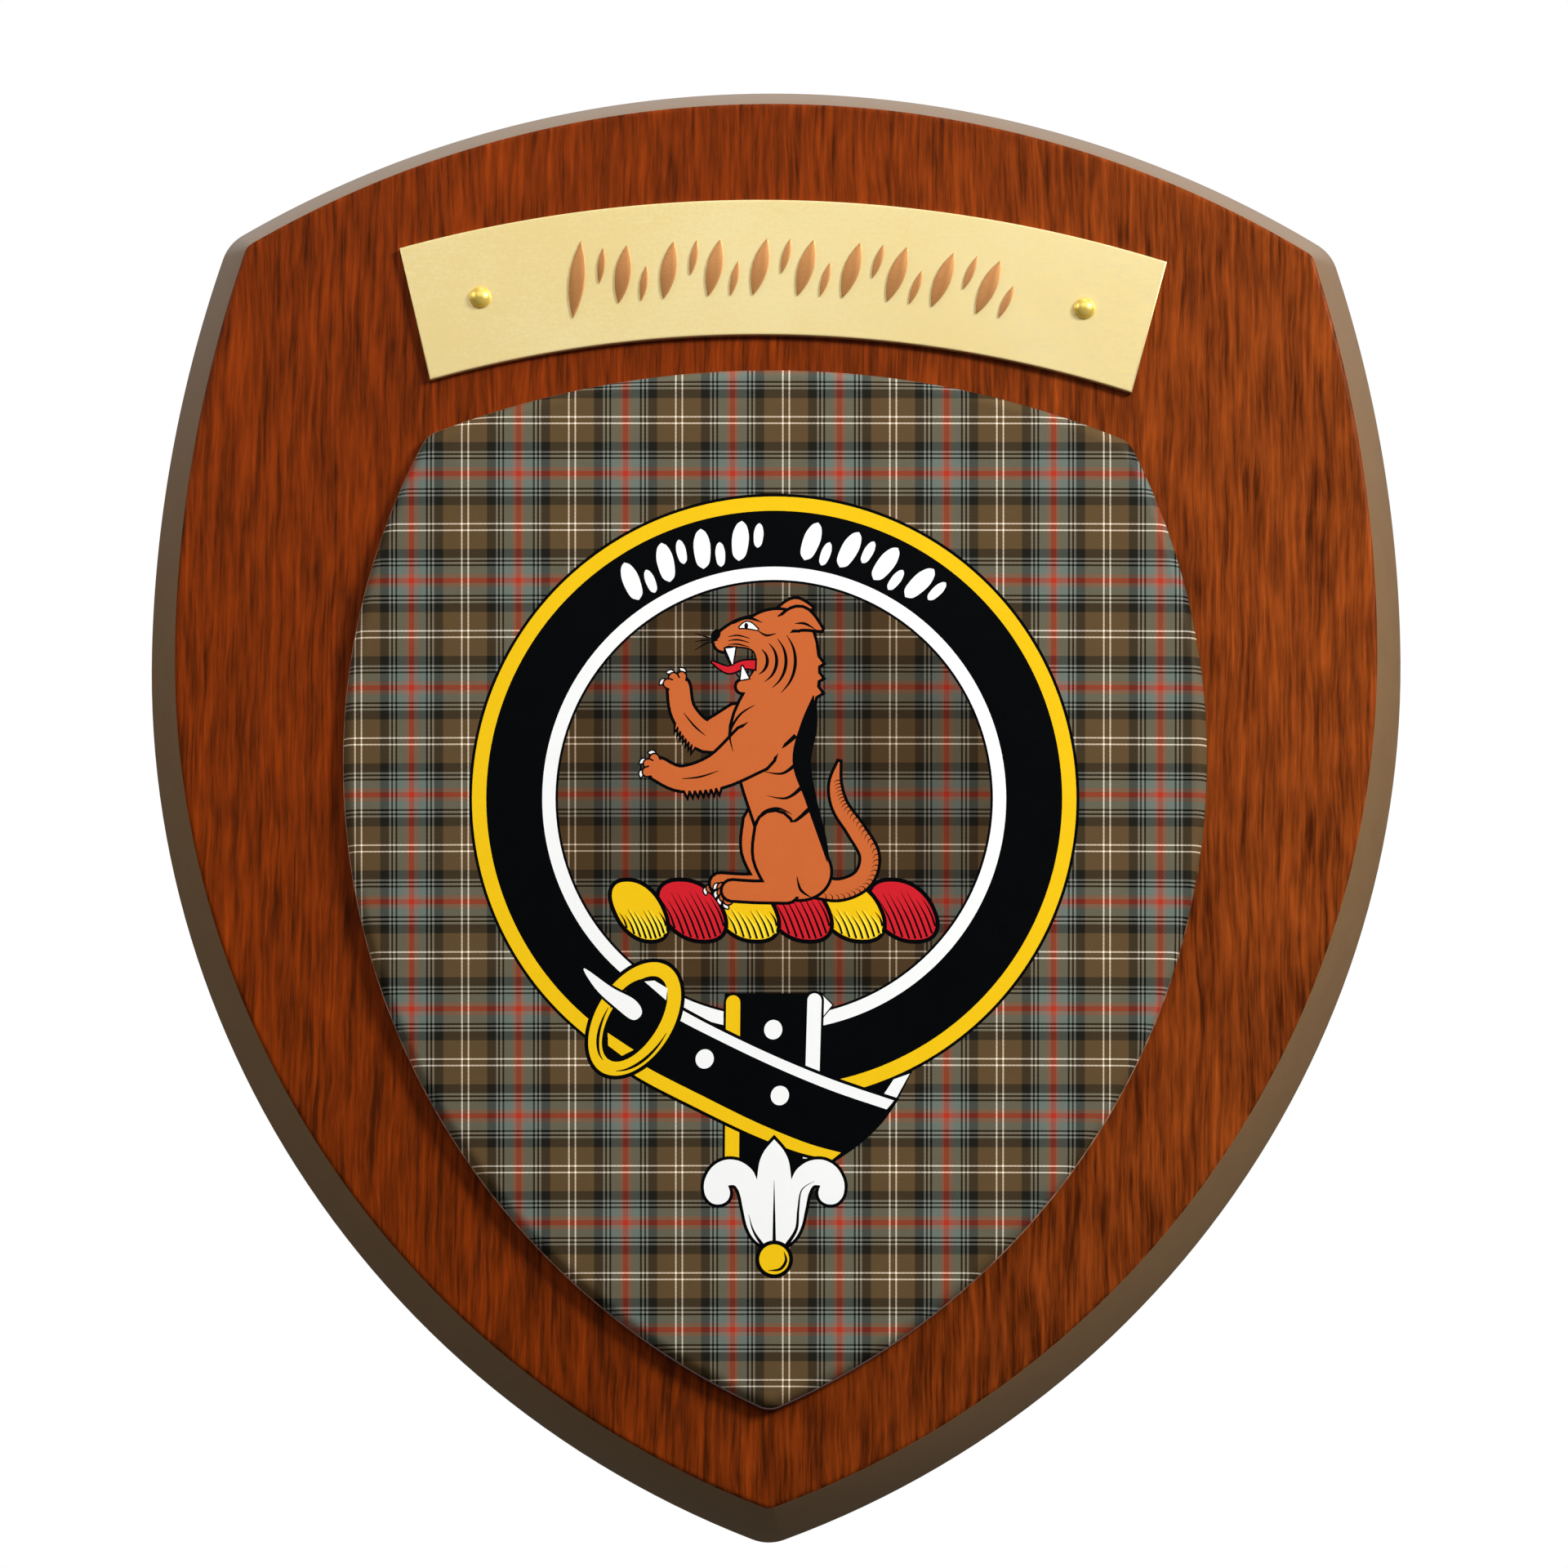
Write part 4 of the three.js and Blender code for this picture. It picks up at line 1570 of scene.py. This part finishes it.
    def mouth(self) -> list[Patch]:
        """Return the open mouth with its tongue and two fangs.

        Returns:
            The mouth.
        """
        x, z = self.mouth_corner
        gape = [(-10.0, 30.1), (-7.4, 30.6), (x, z + 1.4), (x + 0.3, z - 1.8), (-6.6, 24.4)]
        patches = Pen.lined(Pen.curve(gape, True, 5), Ink.DEEP_CHECK, 0.34)
        tongue = Pen.ribbon([(-3.9, 27.2), (-6.4, 27.2), (-9.4, 26.2), (-12.6, 27.8)], [1.8, 1.5, 1.3, 0.2])
        patches += Pen.lined(tongue, Ink.RED, 0.36)
        for root, tip, width in (((-8.9, 30.6), (-8.5, 27.3), 2.0), ((-6.0, 24.3), (-6.5, 26.9), 1.7)):
            patches += Pen.lined(Pen.ribbon([root, tip], [width, 0.1], 2), Ink.WHITE, self.thin_line)
        return patches

    def patches(self) -> list[Patch]:
        """Return all of the cat, from the back to the front.

        Returns:
            The cat.
        """
        far_joints = [(-7.0, 15.0), (-14.0, 12.8), (-18.4, 17.4), (-19.4, 22.6)]
        near_joints = [(-4.4, 10.2), (-11.4, 5.6), (-18.8, 4.0), (-23.6, 6.0)]
        far = self.arm(far_joints, [8.4, 6.0, 4.6, 4.2], 118, (-0.8, -1.3))
        near = self.arm(near_joints, [9.6, 6.6, 4.6, 4.2], 152, (-0.4, -1.5))
        shoulder = Patch(Pen.ellipse((-2.6, 12.0), 5.2, 4.4, 40, 32), Ink.TAWNY)
        crease = Pen.stroke([(-8.4, 9.6), (-9.0, 13.4), (-7.0, 17.0), (-4.0, 19.0)], 0.4)
        behind = [*self.tail(), *far, *self.leg((-2.4, 1.4), 1)]
        return [*behind, *self.body(), *self.near_leg(), *near, shoulder, crease, *self.face()]


# Pieces


@dataclass
class Board:
    """The wooden board: a thin upright edge, one long bevel and a flat front, with a keyhole in its back."""

    arch_rise: float = 33.4
    shoulder_inset: float = 13.8
    widest_drop: float = 119.7
    height: float = 301.9
    bevel_width: float = 6.2
    bevel_depth: float = 14.0
    face_corner_radius: float = 3.0
    arris: float = 0.7
    back_arris: float = 0.4
    flat_border: float = 0.4
    keyhole_depth: float = 9.0
    keyhole_lip: float = 3.4
    keyhole_head: float = 10.0
    keyhole_neck: float = 5.4
    keyhole_travel: float = 14.0
    keyhole_drop: float = 45.0
    pin_hole_radius: float = 0.95
    pin_hole_depth: float = 8.15
    facing: float = 0.9
    stained_share: float = 0.7
    smoothing: float = 32.0
    # Both wood finishes carry a painted light that warms and brightens them towards the right, and a painted
    # shade that darkens them towards the foot.
    stained: WoodFinish = WoodFinish(
        "stained_wood", light=painted(163, 64, 12), painted_light_tone=painted(177, 82, 27), dark=painted(71, 26, 3),
        pore=painted(52, 22, 3), pore_strength=0.32, contrast=1.0, relief=0.03)
    bare: WoodFinish = WoodFinish(
        "bare_back", light=painted(150, 104, 66), painted_light_tone=painted(152, 106, 68), dark=painted(112, 70, 40),
        pore=painted(60, 36, 20), pore_strength=0.5, contrast=0.8, relief=0.05)
    lacquer: PaintFinish = PaintFinish(
        "bevel_lacquer", painted(128, 99, 68), unevenness=0.14, scale=190.0, roughness=0.36, shine=0.3)

    def __post_init__(self) -> None:
        """Take the board's width and thickness from its node, and find where a wall screw rests."""
        low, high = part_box("wood_shield")
        self.half_width, self.top, self.front = high.x / MM, high.z / MM, low.y / MM
        self.screw_rest = self.top - self.keyhole_drop

    def outline(self) -> ShieldOutline:
        """Return the board's outline at its back."""
        rounding = self.face_corner_radius + self.bevel_width
        return ShieldOutline(self.half_width, self.top, self.top - self.height, self.arch_rise,
                             self.shoulder_inset, self.widest_drop, rounding)

    def build(self, pin_places: list[Point]) -> Thing:
        """Model the board.

        Args:
            pin_places: Where the pins enter it.

        Returns:
            The board.
        """
        edge = self.front + self.bevel_depth
        piece = Bench.slab("board", self.outline().points(), 0.0, edge)
        Bench.inset(piece, lambda face: face.normal.y < -self.facing, self.bevel_width, self.bevel_depth)
        Bench.soften(piece, self.front, self.arris, segments=4)
        Bench.soften(piece, 0.0, self.back_arris, segments=3)
        Bench.soften(piece, edge, self.back_arris, segments=2)
        Bench.inset(piece, Bench.is_flat, self.flat_border)
        self._cut_keyhole(piece)
        for place in pin_places:
            back = self.front + self.pin_hole_depth
            Bench.cut(piece, Bench.bar(self.pin_hole_radius, self.front - 1, back, place, sides=24))
        Bench.smooth(piece, self.smoothing)
        return piece

    def _cut_keyhole(self, piece: Thing) -> None:
        """Cut the keyhole: a round entry, a neck above it and a wider groove behind the neck.

        The cutters end at slightly different depths, so that no two of their faces share a plane.

        Args:
            piece: The board.
        """
        rest = self.screw_rest
        entry = rest - self.keyhole_travel
        head, neck = self.keyhole_head / 2, self.keyhole_neck / 2
        deep, lip, outside = -self.keyhole_depth, -self.keyhole_lip, 1.0
        cutters = [
            lambda end: Bench.bar(head, end, outside, (0, entry)),
            lambda end: Bench.block((-neck, end, entry), (neck, outside, rest)),
            lambda end: Bench.bar(neck, end, outside, (0, rest)),
            lambda end: Bench.block((-head, end, entry), (head, lip, rest)),
            lambda end: Bench.bar(head, end, lip, (0, rest)),
        ]
        for order, cutter in enumerate(cutters):
            Bench.cut(piece, cutter(deep + order * SLACK))

    def dress(self, piece: Thing, effects: Effects) -> None:
        """Stain the front, lacquer the bevel and leave the back bare.

        Args:
            piece: The board.
            effects: The plaque's shared effects.
        """
        for finish in (self.stained, self.lacquer, self.bare):
            piece.data.materials.append(finish.made(effects))
        _, bevel, back = range(len(piece.data.materials))
        bevel_start = self.front + self.arris * self.stained_share
        for face in piece.data.polygons:
            if face.normal.y > self.facing or self._in_keyhole(face.center / MM):
                face.material_index = back
            elif face.center.y / MM > bevel_start:
                face.material_index = bevel

    def _in_keyhole(self, centre: Vector) -> bool:
        """Return whether a place is inside the keyhole."""
        head, rest = self.keyhole_head, self.screw_rest
        level = rest - self.keyhole_travel - head < centre.z < rest + head
        return level and abs(centre.x) < head and self.front + 1 < centre.y


@dataclass
class InnerShield:
    """The raised inner shield, printed over its crowned field and most of its rounded edge."""

    arch_rise: float = 14.4
    shoulder_inset: float = 15.9
    widest_drop: float = 79.8
    corner_radius: float = 2.2
    wall: float = 1.2
    edge_radius: float = 2.8
    edge_steps: int = 7
    crown_steps: int = 12
    crown_thinning: int = 3
    tip_rounds: int = 4
    rim_inset: float = 0.17
    smoothing: float = 40.0
    place: PrintPlace = PrintPlace()

    def __post_init__(self) -> None:
        """Take the shield's overall size from its node, and find its sharp tip from its rounded one."""
        low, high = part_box("crest_shield")
        self.half_width, self.top = high.x / MM, high.z / MM
        self.seat = high.y / MM - self.wall
        self.crown = self.seat - low.y / MM - self.edge_radius
        self.tip = low.z / MM
        for _ in range(self.tip_rounds):
            self.tip += low.z / MM - min(z for _, z in self.outline().points())
        self.middle = np.array([0.0, (self.top + self.tip) / 2])

    def outline(self) -> ShieldOutline:
        """Return the outline where the shield meets the board."""
        rounding = self.corner_radius + self.edge_radius
        return ShieldOutline(self.half_width, self.top, self.tip, self.arch_rise, self.shoulder_inset,
                             self.widest_drop, rounding)

    def depth_at(self, points: Array, edge: Array, field_edge: Array) -> Array:
        """Return how far forward the printed surface lies.

        Args:
            points: Places as x and z.
            edge: The shield's outline.
            field_edge: The outline of the field inside the rounded edge.

        Returns:
            The depths, as y.
        """
        inset = self._distance(points, edge)
        bend = np.clip(self.edge_radius - inset, 0, self.edge_radius)
        rounded = np.sqrt(np.maximum(self.edge_radius**2 - bend**2, 0))
        spokes, rays = field_edge - self.middle, points - self.middle
        bearings = np.arctan2(spokes[:, 1], spokes[:, 0])
        order = np.argsort(bearings)
        reach = np.linalg.norm(spokes, axis=1)[order]
        limit = np.interp(np.arctan2(rays[:, 1], rays[:, 0]), bearings[order], reach, period=ROUND)
        share = np.clip(np.linalg.norm(rays, axis=1) / limit, 0, 1)
        crowned = np.where(inset >= self.edge_radius * 0.999, self.crown * (1 - share**2), 0)
        return self.seat - rounded - crowned

    @staticmethod
    def _distance(points: Array, edge: Array) -> Array:
        """Return each point's distance to a closed outline.

        Args:
            points: The points.
            edge: The outline.

        Returns:
            The distances.
        """
        nearest = np.full(len(points), np.inf)
        for first, last in zip(edge, np.roll(edge, -1, 0)):
            along = last - first
            share = np.clip((points - first) @ along / (along @ along), 0, 1)
            gap = np.linalg.norm(points - (first + share[:, None] * along), axis=1)
            nearest = np.minimum(nearest, gap)
        return nearest

    @staticmethod
    def _holds(outline: Array, points: Array) -> Array:
        """Return which points an outline winds round.

        Args:
            outline: The closed outline.
            points: The points.

        Returns:
            True where the outline winds round the point.
        """
        near = np.all((points >= outline.min(0)) & (points <= outline.max(0)), axis=1)
        x, y = points[near].T
        winding = np.zeros(len(x), int)
        for first, last in zip(outline, np.roll(outline, -1, 0)):
            side = (last[0] - first[0]) * (y - first[1]) - (x - first[0]) * (last[1] - first[1])
            winding += ((first[1] <= y) & (last[1] > y) & (side > 0)).astype(int)
            winding -= ((first[1] > y) & (last[1] <= y) & (side < 0)).astype(int)
        held = np.zeros(len(points), bool)
        held[near] = winding != 0
        return held

    def artwork(self) -> list[Patch]:
        """Return the whole crest, in the shield's own frame."""
        drawn = [*Belt().patches(), *Torse().patches(), *Cat().patches()]
        return [Patch(self.place.to_shield(patch.outline), patch.ink) for patch in drawn]

    def build(self) -> Thing:
        """Model the shield, its face divided along the outlines of the print.

        Returns:
            The shield.
        """
        shield = self.outline()
        bends = [1 - math.cos(UPRIGHT * step / self.edge_steps) for step in range(self.edge_steps + 1)]
        insets = [*(self.edge_radius * bend for bend in bends), self.rim_inset]
        loops = [np.array(shield.points(inset)) for inset in insets]
        edge, field_edge = loops[0], np.array(shield.points(self.edge_radius))
        shares = [step / self.crown_steps for step in range(1, self.crown_steps)]
        spokes = field_edge[:: self.crown_thinning] - self.middle
        loops += [spokes * share + self.middle for share in shares]
        patches = self.artwork()
        places, faces = self._divided(loops + [patch.outline for patch in patches])
        centres = places[faces].mean(axis=1)
        inks = np.full(len(faces), Ink.CHECK.value)
        for patch in patches:
            inks[self._holds(patch.outline, centres)] = patch.ink.value
        inks[self._distance(centres, edge) < self.rim_inset] = Ink.RIM.value
        depths = self.depth_at(places, edge, field_edge)
        mesh = bpy.data.meshes.new("inner_shield")
        corners = np.column_stack([places[:, 0], depths, places[:, 1]]) * MM
        mesh.from_pydata(corners.tolist(), [], faces.tolist())
        mesh.polygons.foreach_set("material_index", inks)
        piece = Bench.placed("inner_shield", mesh)
        self._close_back(piece)
        Bench.smooth(piece, self.smoothing)
        return piece

    @staticmethod
    def _divided(loops: list[Array], nearness: float = 1e-5) -> tuple[Array, Array]:
        """Divide the face into triangles that keep every line of the print.

        Args:
            loops: Closed outlines.
            nearness: Distance under which two points are one.

        Returns:
            The corners, and each triangle's three.
        """
        points, edges = [], []
        for loop in loops:
            start, count = len(points), len(loop)
            points += [Vector(point) for point in loop]
            edges += [(start + step, start + (step + 1) % count) for step in range(count)]
        made = delaunay_2d_cdt(points, edges, [], 0, nearness)
        places, faces = np.array([tuple(point) for point in made[0]]), np.array(made[2])
        a, b, c = (places[faces[:, corner]] for corner in range(3))
        area = (b[:, 0] - a[:, 0]) * (c[:, 1] - a[:, 1]) - (c[:, 0] - a[:, 0]) * (b[:, 1] - a[:, 1])
        faces[area < 0] = faces[area < 0][:, ::-1]
        return places, faces[np.abs(area) > TINY]

    def _close_back(self, piece: Thing) -> None:
        """Add the upright wall and the flat back, which have the bare rim's finish.

        Args:
            piece: The shield's printed face.
        """
        Bench.pick(piece)
        Bench.mode("EDIT")
        bpy.ops.mesh.select_mode(type="EDGE")
        bpy.ops.mesh.select_all(action="DESELECT")
        bpy.ops.mesh.select_non_manifold()
        bpy.ops.mesh.extrude_edges_move(TRANSFORM_OT_translate={"value": (0, self.wall * MM, 0)})
        bpy.ops.mesh.edge_face_add()
        Bench.mode("OBJECT")
        for face in piece.data.polygons:
            if face.center.y / MM > self.seat:
                face.material_index = Ink.RIM.value
        Bench.face_outwards(piece)

    def dress(self, piece: Thing, effects: Effects) -> None:
        """Give each ink its material.

        Args:
            piece: The shield.
            effects: The plaque's shared effects.
        """
        finishes = {
            Ink.CHECK: CheckFinish("check_cloth", self.place, (0.975, 0.965, 0.96, 1)),
            Ink.DEEP_CHECK: CheckFinish("check_cloth_deep", self.place, (0.79, 0.755, 0.73, 1)),
            Ink.BLACK: PaintFinish("black_ink", painted(4, 5, 7), unevenness=0.2, shine=0.03),
            Ink.GOLD: PaintFinish("gold_ink", painted(245, 198, 20), unevenness=0.05),
            Ink.WHITE: PaintFinish("white_ink", painted(250, 251, 250), unevenness=0.03),
            Ink.RED: PaintFinish("red_ink", painted(210, 32, 44), unevenness=0.06),
            Ink.TAWNY: PaintFinish("tawny_ink", painted(205, 104, 52), unevenness=0.05),
            Ink.RIM: RimFinish("rim_edge"),
            Ink.YELLOW: PaintFinish("yellow_ink", painted(252, 232, 62), unevenness=0.05),
        }
        for ink in Ink:
            piece.data.materials.append(finishes[ink].made(effects))


@dataclass
class Nameplate:
    """The curved brass nameplate with its row of raised strokes."""

    height: float = 28.5
    thickness: float = 1.5
    mid_radius: float = 259.0
    upper_chord: float = 158.0
    lower_chord: float = 144.0
    edge_steps: int = 80
    turn: float = math.radians(0.55)
    shift: float = 0.7
    back: float = -16.0
    drop: float = 20.8
    bevel_width: float = 6.2
    arris: float = 0.16
    flat_border: float = 0.25
    pin_spacing: float = 124.2
    pin_hole_radius: float = 0.95
    stroke_count: int = 10
    stroke_pitch: float = 9.4
    stroke_length: float = 12.4
    first_stroke_length: float = 16.4
    stroke_width: float = 3.2
    slim_length: float = 7.6
    slim_width: float = 1.5
    stroke_relief: float = 0.5
    stroke_root: float = 0.1
    stroke_arris: float = 0.16
    stroke_lean: float = math.radians(14)
    leaf_steps: int = 16
    smoothing: float = 32.0
    brass: MetalFinish = MetalFinish("pale_brass", painted(247, 228, 167), painted(237, 209, 134),
                                     roughness=0.42, metallic=0.7)
    copper: MetalFinish = MetalFinish("copper", painted(198, 138, 80), painted(172, 112, 60),
                                      roughness=0.4, metallic=0.6)

    def __post_init__(self) -> None:
        """Find the plate's front, and its middle on the board from the board's node."""
        self.front = self.back - self.thickness
        self.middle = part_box("wood_shield")[1].z / MM - self.bevel_width - self.drop - self.height / 2

    def on_board(self, point: Point) -> Point:
        """Return where a place of the plate's own frame lies on the board."""
        x, z = Pen.moved(np.array(point), (self.shift, self.middle), -self.turn)
        return float(x), float(z)

    def on_arc(self, x: float) -> Point:
        """Return a place on the plate's middle arc."""
        return x, math.sqrt(self.mid_radius**2 - x**2) - self.mid_radius

    def pin_places(self) -> list[Point]:
        """Return the two pins' places on the board."""
        return [self.on_board(self.on_arc(side * self.pin_spacing / 2)) for side in (-1, 1)]

    def outline(self) -> list[Point]:
        """Return the plate's outline in its own frame, anticlockwise.

        Returns:
            The points.
        """
        rim = []
        for side, chord in ((1, self.upper_chord), (-1, self.lower_chord)):
            circle = Circle(0, -self.mid_radius, self.mid_radius + side * self.height / 2)
            half = side * math.asin(chord / 2 / circle.radius)
            rim += [*circle.arc(UPRIGHT - half, UPRIGHT + half, self.edge_steps), circle.at(UPRIGHT + half)]
        return rim

    def build_sheet(self) -> Thing:
        """Model the sheet: a flat band with a softened front edge and a hole for each pin.

        Returns:
            The sheet.
        """
        outline = [self.on_board(point) for point in self.outline()]
        piece = Bench.slab("nameplate_sheet", outline, self.back, self.front)
        Bench.soften(piece, self.front, self.arris, segments=3)
        Bench.inset(piece, lambda face: Bench.is_flat(face) and face.normal.y < 0, self.flat_border)
        for place in self.pin_places():
            Bench.cut(piece, Bench.bar(self.pin_hole_radius, self.front - 1, self.back + 1, place, sides=24))
        Bench.smooth(piece, self.smoothing)
        return piece

    def leaf(self, length: float, width: float) -> list[Point]:
        """Return a leaf-shaped outline with pointed ends, anticlockwise from its foot.

        Args:
            length: Its length.
            width: Its width in the middle.

        Returns:
            The points.
        """
        shares = [step / self.leaf_steps for step in range(self.leaf_steps)]
        right = [(2 * t * (1 - t) * width, (t - 0.5) * length) for t in shares]
        return right + [(-x, -z) for x, z in right]

    def build_stroke(self, name: str, x: float, rise: float, length: float,
                     width: float) -> Thing:
        """Model one raised stroke.

        Args:
            name: Its name.
            x: Its place along the row.
            rise: How far it stands above the middle arc.
            length: Its length.
            width: Its width.

        Returns:
            The stroke.
        """
        lean = self.stroke_lean + math.asin(x / self.mid_radius)
        upright = np.array(self.leaf(length, width)) + (0, rise)
        outline = [self.on_board(point) for point in Pen.moved(upright, self.on_arc(x), -lean)]
        top = self.front - self.stroke_relief
        piece = Bench.slab(name, outline, self.front + self.stroke_root, top)
        Bench.soften(piece, top, self.stroke_arris, segments=2)
        return piece

    def build_strokes(self) -> Thing:
        """Model the row as one piece: broad leaves, each with a slim one beside it, high and low in turn.

        Returns:
            The row.
        """
        made = []
        for mark in range(self.stroke_count):
            x = (mark - (self.stroke_count - 1) / 2) * self.stroke_pitch
            length = self.stroke_length if mark else self.first_stroke_length
            rise = (-1) ** mark * (self.stroke_length - self.slim_length) / 2
            slim_x = x + self.stroke_pitch / 2
            made.append(self.build_stroke(f"broad_{mark}", x, 0, length, self.stroke_width))
            made.append(self.build_stroke(f"slim_{mark}", slim_x, rise, self.slim_length, self.slim_width))
        Bench.pick(made[0])
        for stroke in made:
            stroke.select_set(True)
        bpy.ops.object.join()
        row = Bench.named("stroke_row")
        Bench.smooth(row, self.smoothing)
        return row

    def dress(self, sheet: Thing, row: Thing, effects: Effects) -> None:
        """Give the sheet its brass and the strokes their copper."""
        sheet.data.materials.append(self.brass.made(effects))
        row.data.materials.append(self.copper.made(effects))


@dataclass(frozen=True)
class Pin:
    """A round-headed brass pin with a plain round shank that ends in a point."""

    place: Point
    head_radius: float = 2.25
    head_height: float = 1.7
    shank_radius: float = 0.8
    depth_in_board: float = 8.0
    point_length: float = 1.2
    point_radius: float = 0.25
    dome_steps: int = 14
    turns: int = 48
    smoothing: float = 40.0
    brass: MetalFinish = MetalFinish(
        "pin_brass", painted(255, 222, 112), painted(246, 204, 92), roughness=0.38, metallic=0.6,
        tarnished=0.4, relief=0.0004)

    def profile(self, plate: Nameplate) -> list[Point]:
        """Return half the pin's outline, as distances from its axis and depths.

        Args:
            plate: The nameplate that it holds.

        Returns:
            The points, from the top of the head to the shank's point.
        """
        seat, end = plate.front, plate.back + self.depth_in_board
        dome = [(0.0, seat - self.head_height)]
        for step in range(1, self.dome_steps + 1):
            angle = UPRIGHT * (1 - step / self.dome_steps)
            dome.append((self.head_radius * math.cos(angle), seat - self.head_height * math.sin(angle)))
        shank = [(self.shank_radius, seat), (self.shank_radius, end - self.point_length)]
        return [*dome, *shank, (self.point_radius, end), (0.0, end)]

    def build(self, name: str, plate: Nameplate) -> Thing:
        """Model the pin by spinning half its outline.

        Args:
            name: Its name.
            plate: The nameplate that it holds.

        Returns:
            The pin.
        """
        x, z = self.place
        mesh = bpy.data.meshes.new(name)
        corners = [Vector((x + radius, y, z)) * MM for radius, y in self.profile(plate)]
        mesh.from_pydata(corners, [(step, step + 1) for step in range(len(corners) - 1)], [])
        piece = Bench.placed(name, mesh)
        Bench.pick(piece)
        Bench.mode("EDIT")
        bpy.ops.mesh.select_all(action="SELECT")
        bpy.ops.mesh.spin(steps=self.turns, angle=ROUND, center=(x * MM, 0, z * MM), axis=(0, 1, 0))
        bpy.ops.mesh.select_all(action="SELECT")
        bpy.ops.mesh.remove_doubles(threshold=0.001 * MM)
        Bench.face_outwards(piece)
        Bench.smooth(piece, self.smoothing)
        return piece

    def dress(self, piece: Thing, effects: Effects) -> None:
        """Give the pin its polish."""
        piece.data.materials.append(self.brass.made(effects))


# Studio


@dataclass(frozen=True)
class Lamp:
    """A soft round light that faces the plaque: its place and width in metres and its power in watts."""

    name: str
    place: Place
    width: float
    power: float

    def build(self) -> None:
        """Add the light."""
        data = bpy.data.lights.new(self.name, "AREA")
        data.shape = "DISK"
        data.size = self.width
        data.energy = self.power
        holder = Bench.placed(self.name, data)
        holder.location = self.place
        holder.rotation_euler = (-Vector(self.place)).to_track_quat("-Z", "Y").to_euler()
        holder.visible_camera = False


@dataclass(frozen=True)
class Studio:
    """The floor, the lights and the camera. Lengths are in metres."""

    distance: float = 1.3
    elevation: float = math.radians(-9.5)
    roll: float = math.radians(0.4956)
    aim: Place = (0.00183, -0.016, 0.00215)
    lens: float = 146.9
    sensor_width: float = 36.0
    floor_width: float = 12.0
    floor_drop: float = 0.55
    floor_roughness: float = 0.8
    floor_seen: Colour = (0.82, 0.82, 0.81, 1)
    floor_for_light: Colour = (0.13, 0.127, 0.112, 1)
    glow_behind: tuple[Point, Point] = ((-0.1, 0.5), (0.2, 0.95))
    glow_above: tuple[Point, Point] = ((0.2, 0.6), (0.08, 1.0))
    lamps: tuple[Lamp, ...] = (
        Lamp("key", (1.12, -1.0, 0.78), 0.5, 32.0),
        Lamp("left_fill", (-1.3, -0.6, 0.7), 0.6, 6.0),
        Lamp("overhead", (0.1, -0.3, 1.5), 0.8, 3.0),
        Lamp("front_fill", (-0.3, -2.2, 1.35), 1.6, 12.0),
    )

    def build(self) -> None:
        """Set up everything round the plaque."""
        self._floor()
        self._world()
        for lamp in self.lamps:
            lamp.build()
        self._camera()
        bpy.context.scene.view_settings.view_transform = "Standard"

    def _floor(self) -> None:
        """Add the floor, well under the plaque: pale where the camera sees it, and darker as a reflector."""
        Bench.clear()
        bpy.ops.mesh.primitive_plane_add(size=self.floor_width, location=(0, 0, -self.floor_drop))
        floor = Bench.named("floor")
        material = bpy.data.materials.new("pale_floor")
        material.use_nodes = True
        surface = material.node_tree.nodes["Principled BSDF"]
        g = Graph(material.node_tree)
        seen = g.add("LightPath").outputs["Is Camera Ray"]
        g.feed(surface.inputs["Base Color"], g.mixed(seen, self.floor_for_light, self.floor_seen))
        surface.inputs["Roughness"].default_value = self.floor_roughness
        floor.data.materials.append(material)
        Bench.settle(floor)

    def _world(self) -> None:
        """Light the plaque from all round, softly, before a white backdrop."""
        world = bpy.data.worlds.new("studio")
        world.use_nodes = True
        bpy.context.scene.world = world
        g = Graph(world.node_tree)
        background = world.node_tree.nodes["Background"]
        background.inputs["Color"].default_value = (1, 1, 1, 1)
        seen = g.add("LightPath").outputs["Is Camera Ray"]
        toward = g.split(g.add("TexCoord").outputs["Generated"])
        behind = g.ranged(toward[1], *self.glow_behind)
        lifted = g.times(behind, g.ranged(toward[2], *self.glow_above))
        unseen = g.times(lifted, g.minus(1.0, seen))
        g.feed(background.inputs["Strength"], g.plus(unseen, seen))

    def _camera(self) -> None:
        """Place the camera below the plaque's middle, looking slightly up, with the photo's small roll."""
        data = bpy.data.cameras.new("camera")
        data.lens = self.lens
        data.sensor_width = self.sensor_width
        camera = Bench.placed("camera", data)
        forward = Vector((0, math.cos(self.elevation), -math.sin(self.elevation)))
        right = Vector((1, 0, 0))
        upward = right.cross(forward)
        cosine, sine = math.cos(self.roll), math.sin(self.roll)
        across, up = right * cosine + upward * sine, upward * cosine - right * sine
        turn = Matrix((across, up, -forward)).transposed()
        camera.matrix_world = Matrix.Translation(Vector(self.aim) - forward * self.distance) @ turn.to_4x4()
        bpy.context.scene.camera = camera


def main() -> None:
    """Build every piece, then the studio."""
    logging.basicConfig(level=logging.INFO, format="%(name)s: %(message)s")
    effects = Effects()
    plate = Nameplate()
    board = Board()
    wood = board.build(plate.pin_places())
    board.dress(wood, effects)
    Bench.hand_over(wood, "wood_shield", "wood_shield")
    inner = InnerShield()
    panel = inner.build()
    inner.dress(panel, effects)
    Bench.hand_over(panel, "crest_shield", "crest_shield")
    sheet, row = plate.build_sheet(), plate.build_strokes()
    plate.dress(sheet, row, effects)
    Bench.hand_over(sheet, "nameplate", "nameplate")
    Bench.hand_over(row, "nameplate", "nameplate")
    for side, place in zip(("left", "right"), plate.pin_places()):
        pin = Pin(place)
        head = pin.build(f"round_pin_{side}", plate)
        pin.dress(head, effects)
        Bench.hand_over(head, "pins", f"pin_{side}")
    Studio().build()


if __name__ == "__main__":
    main()
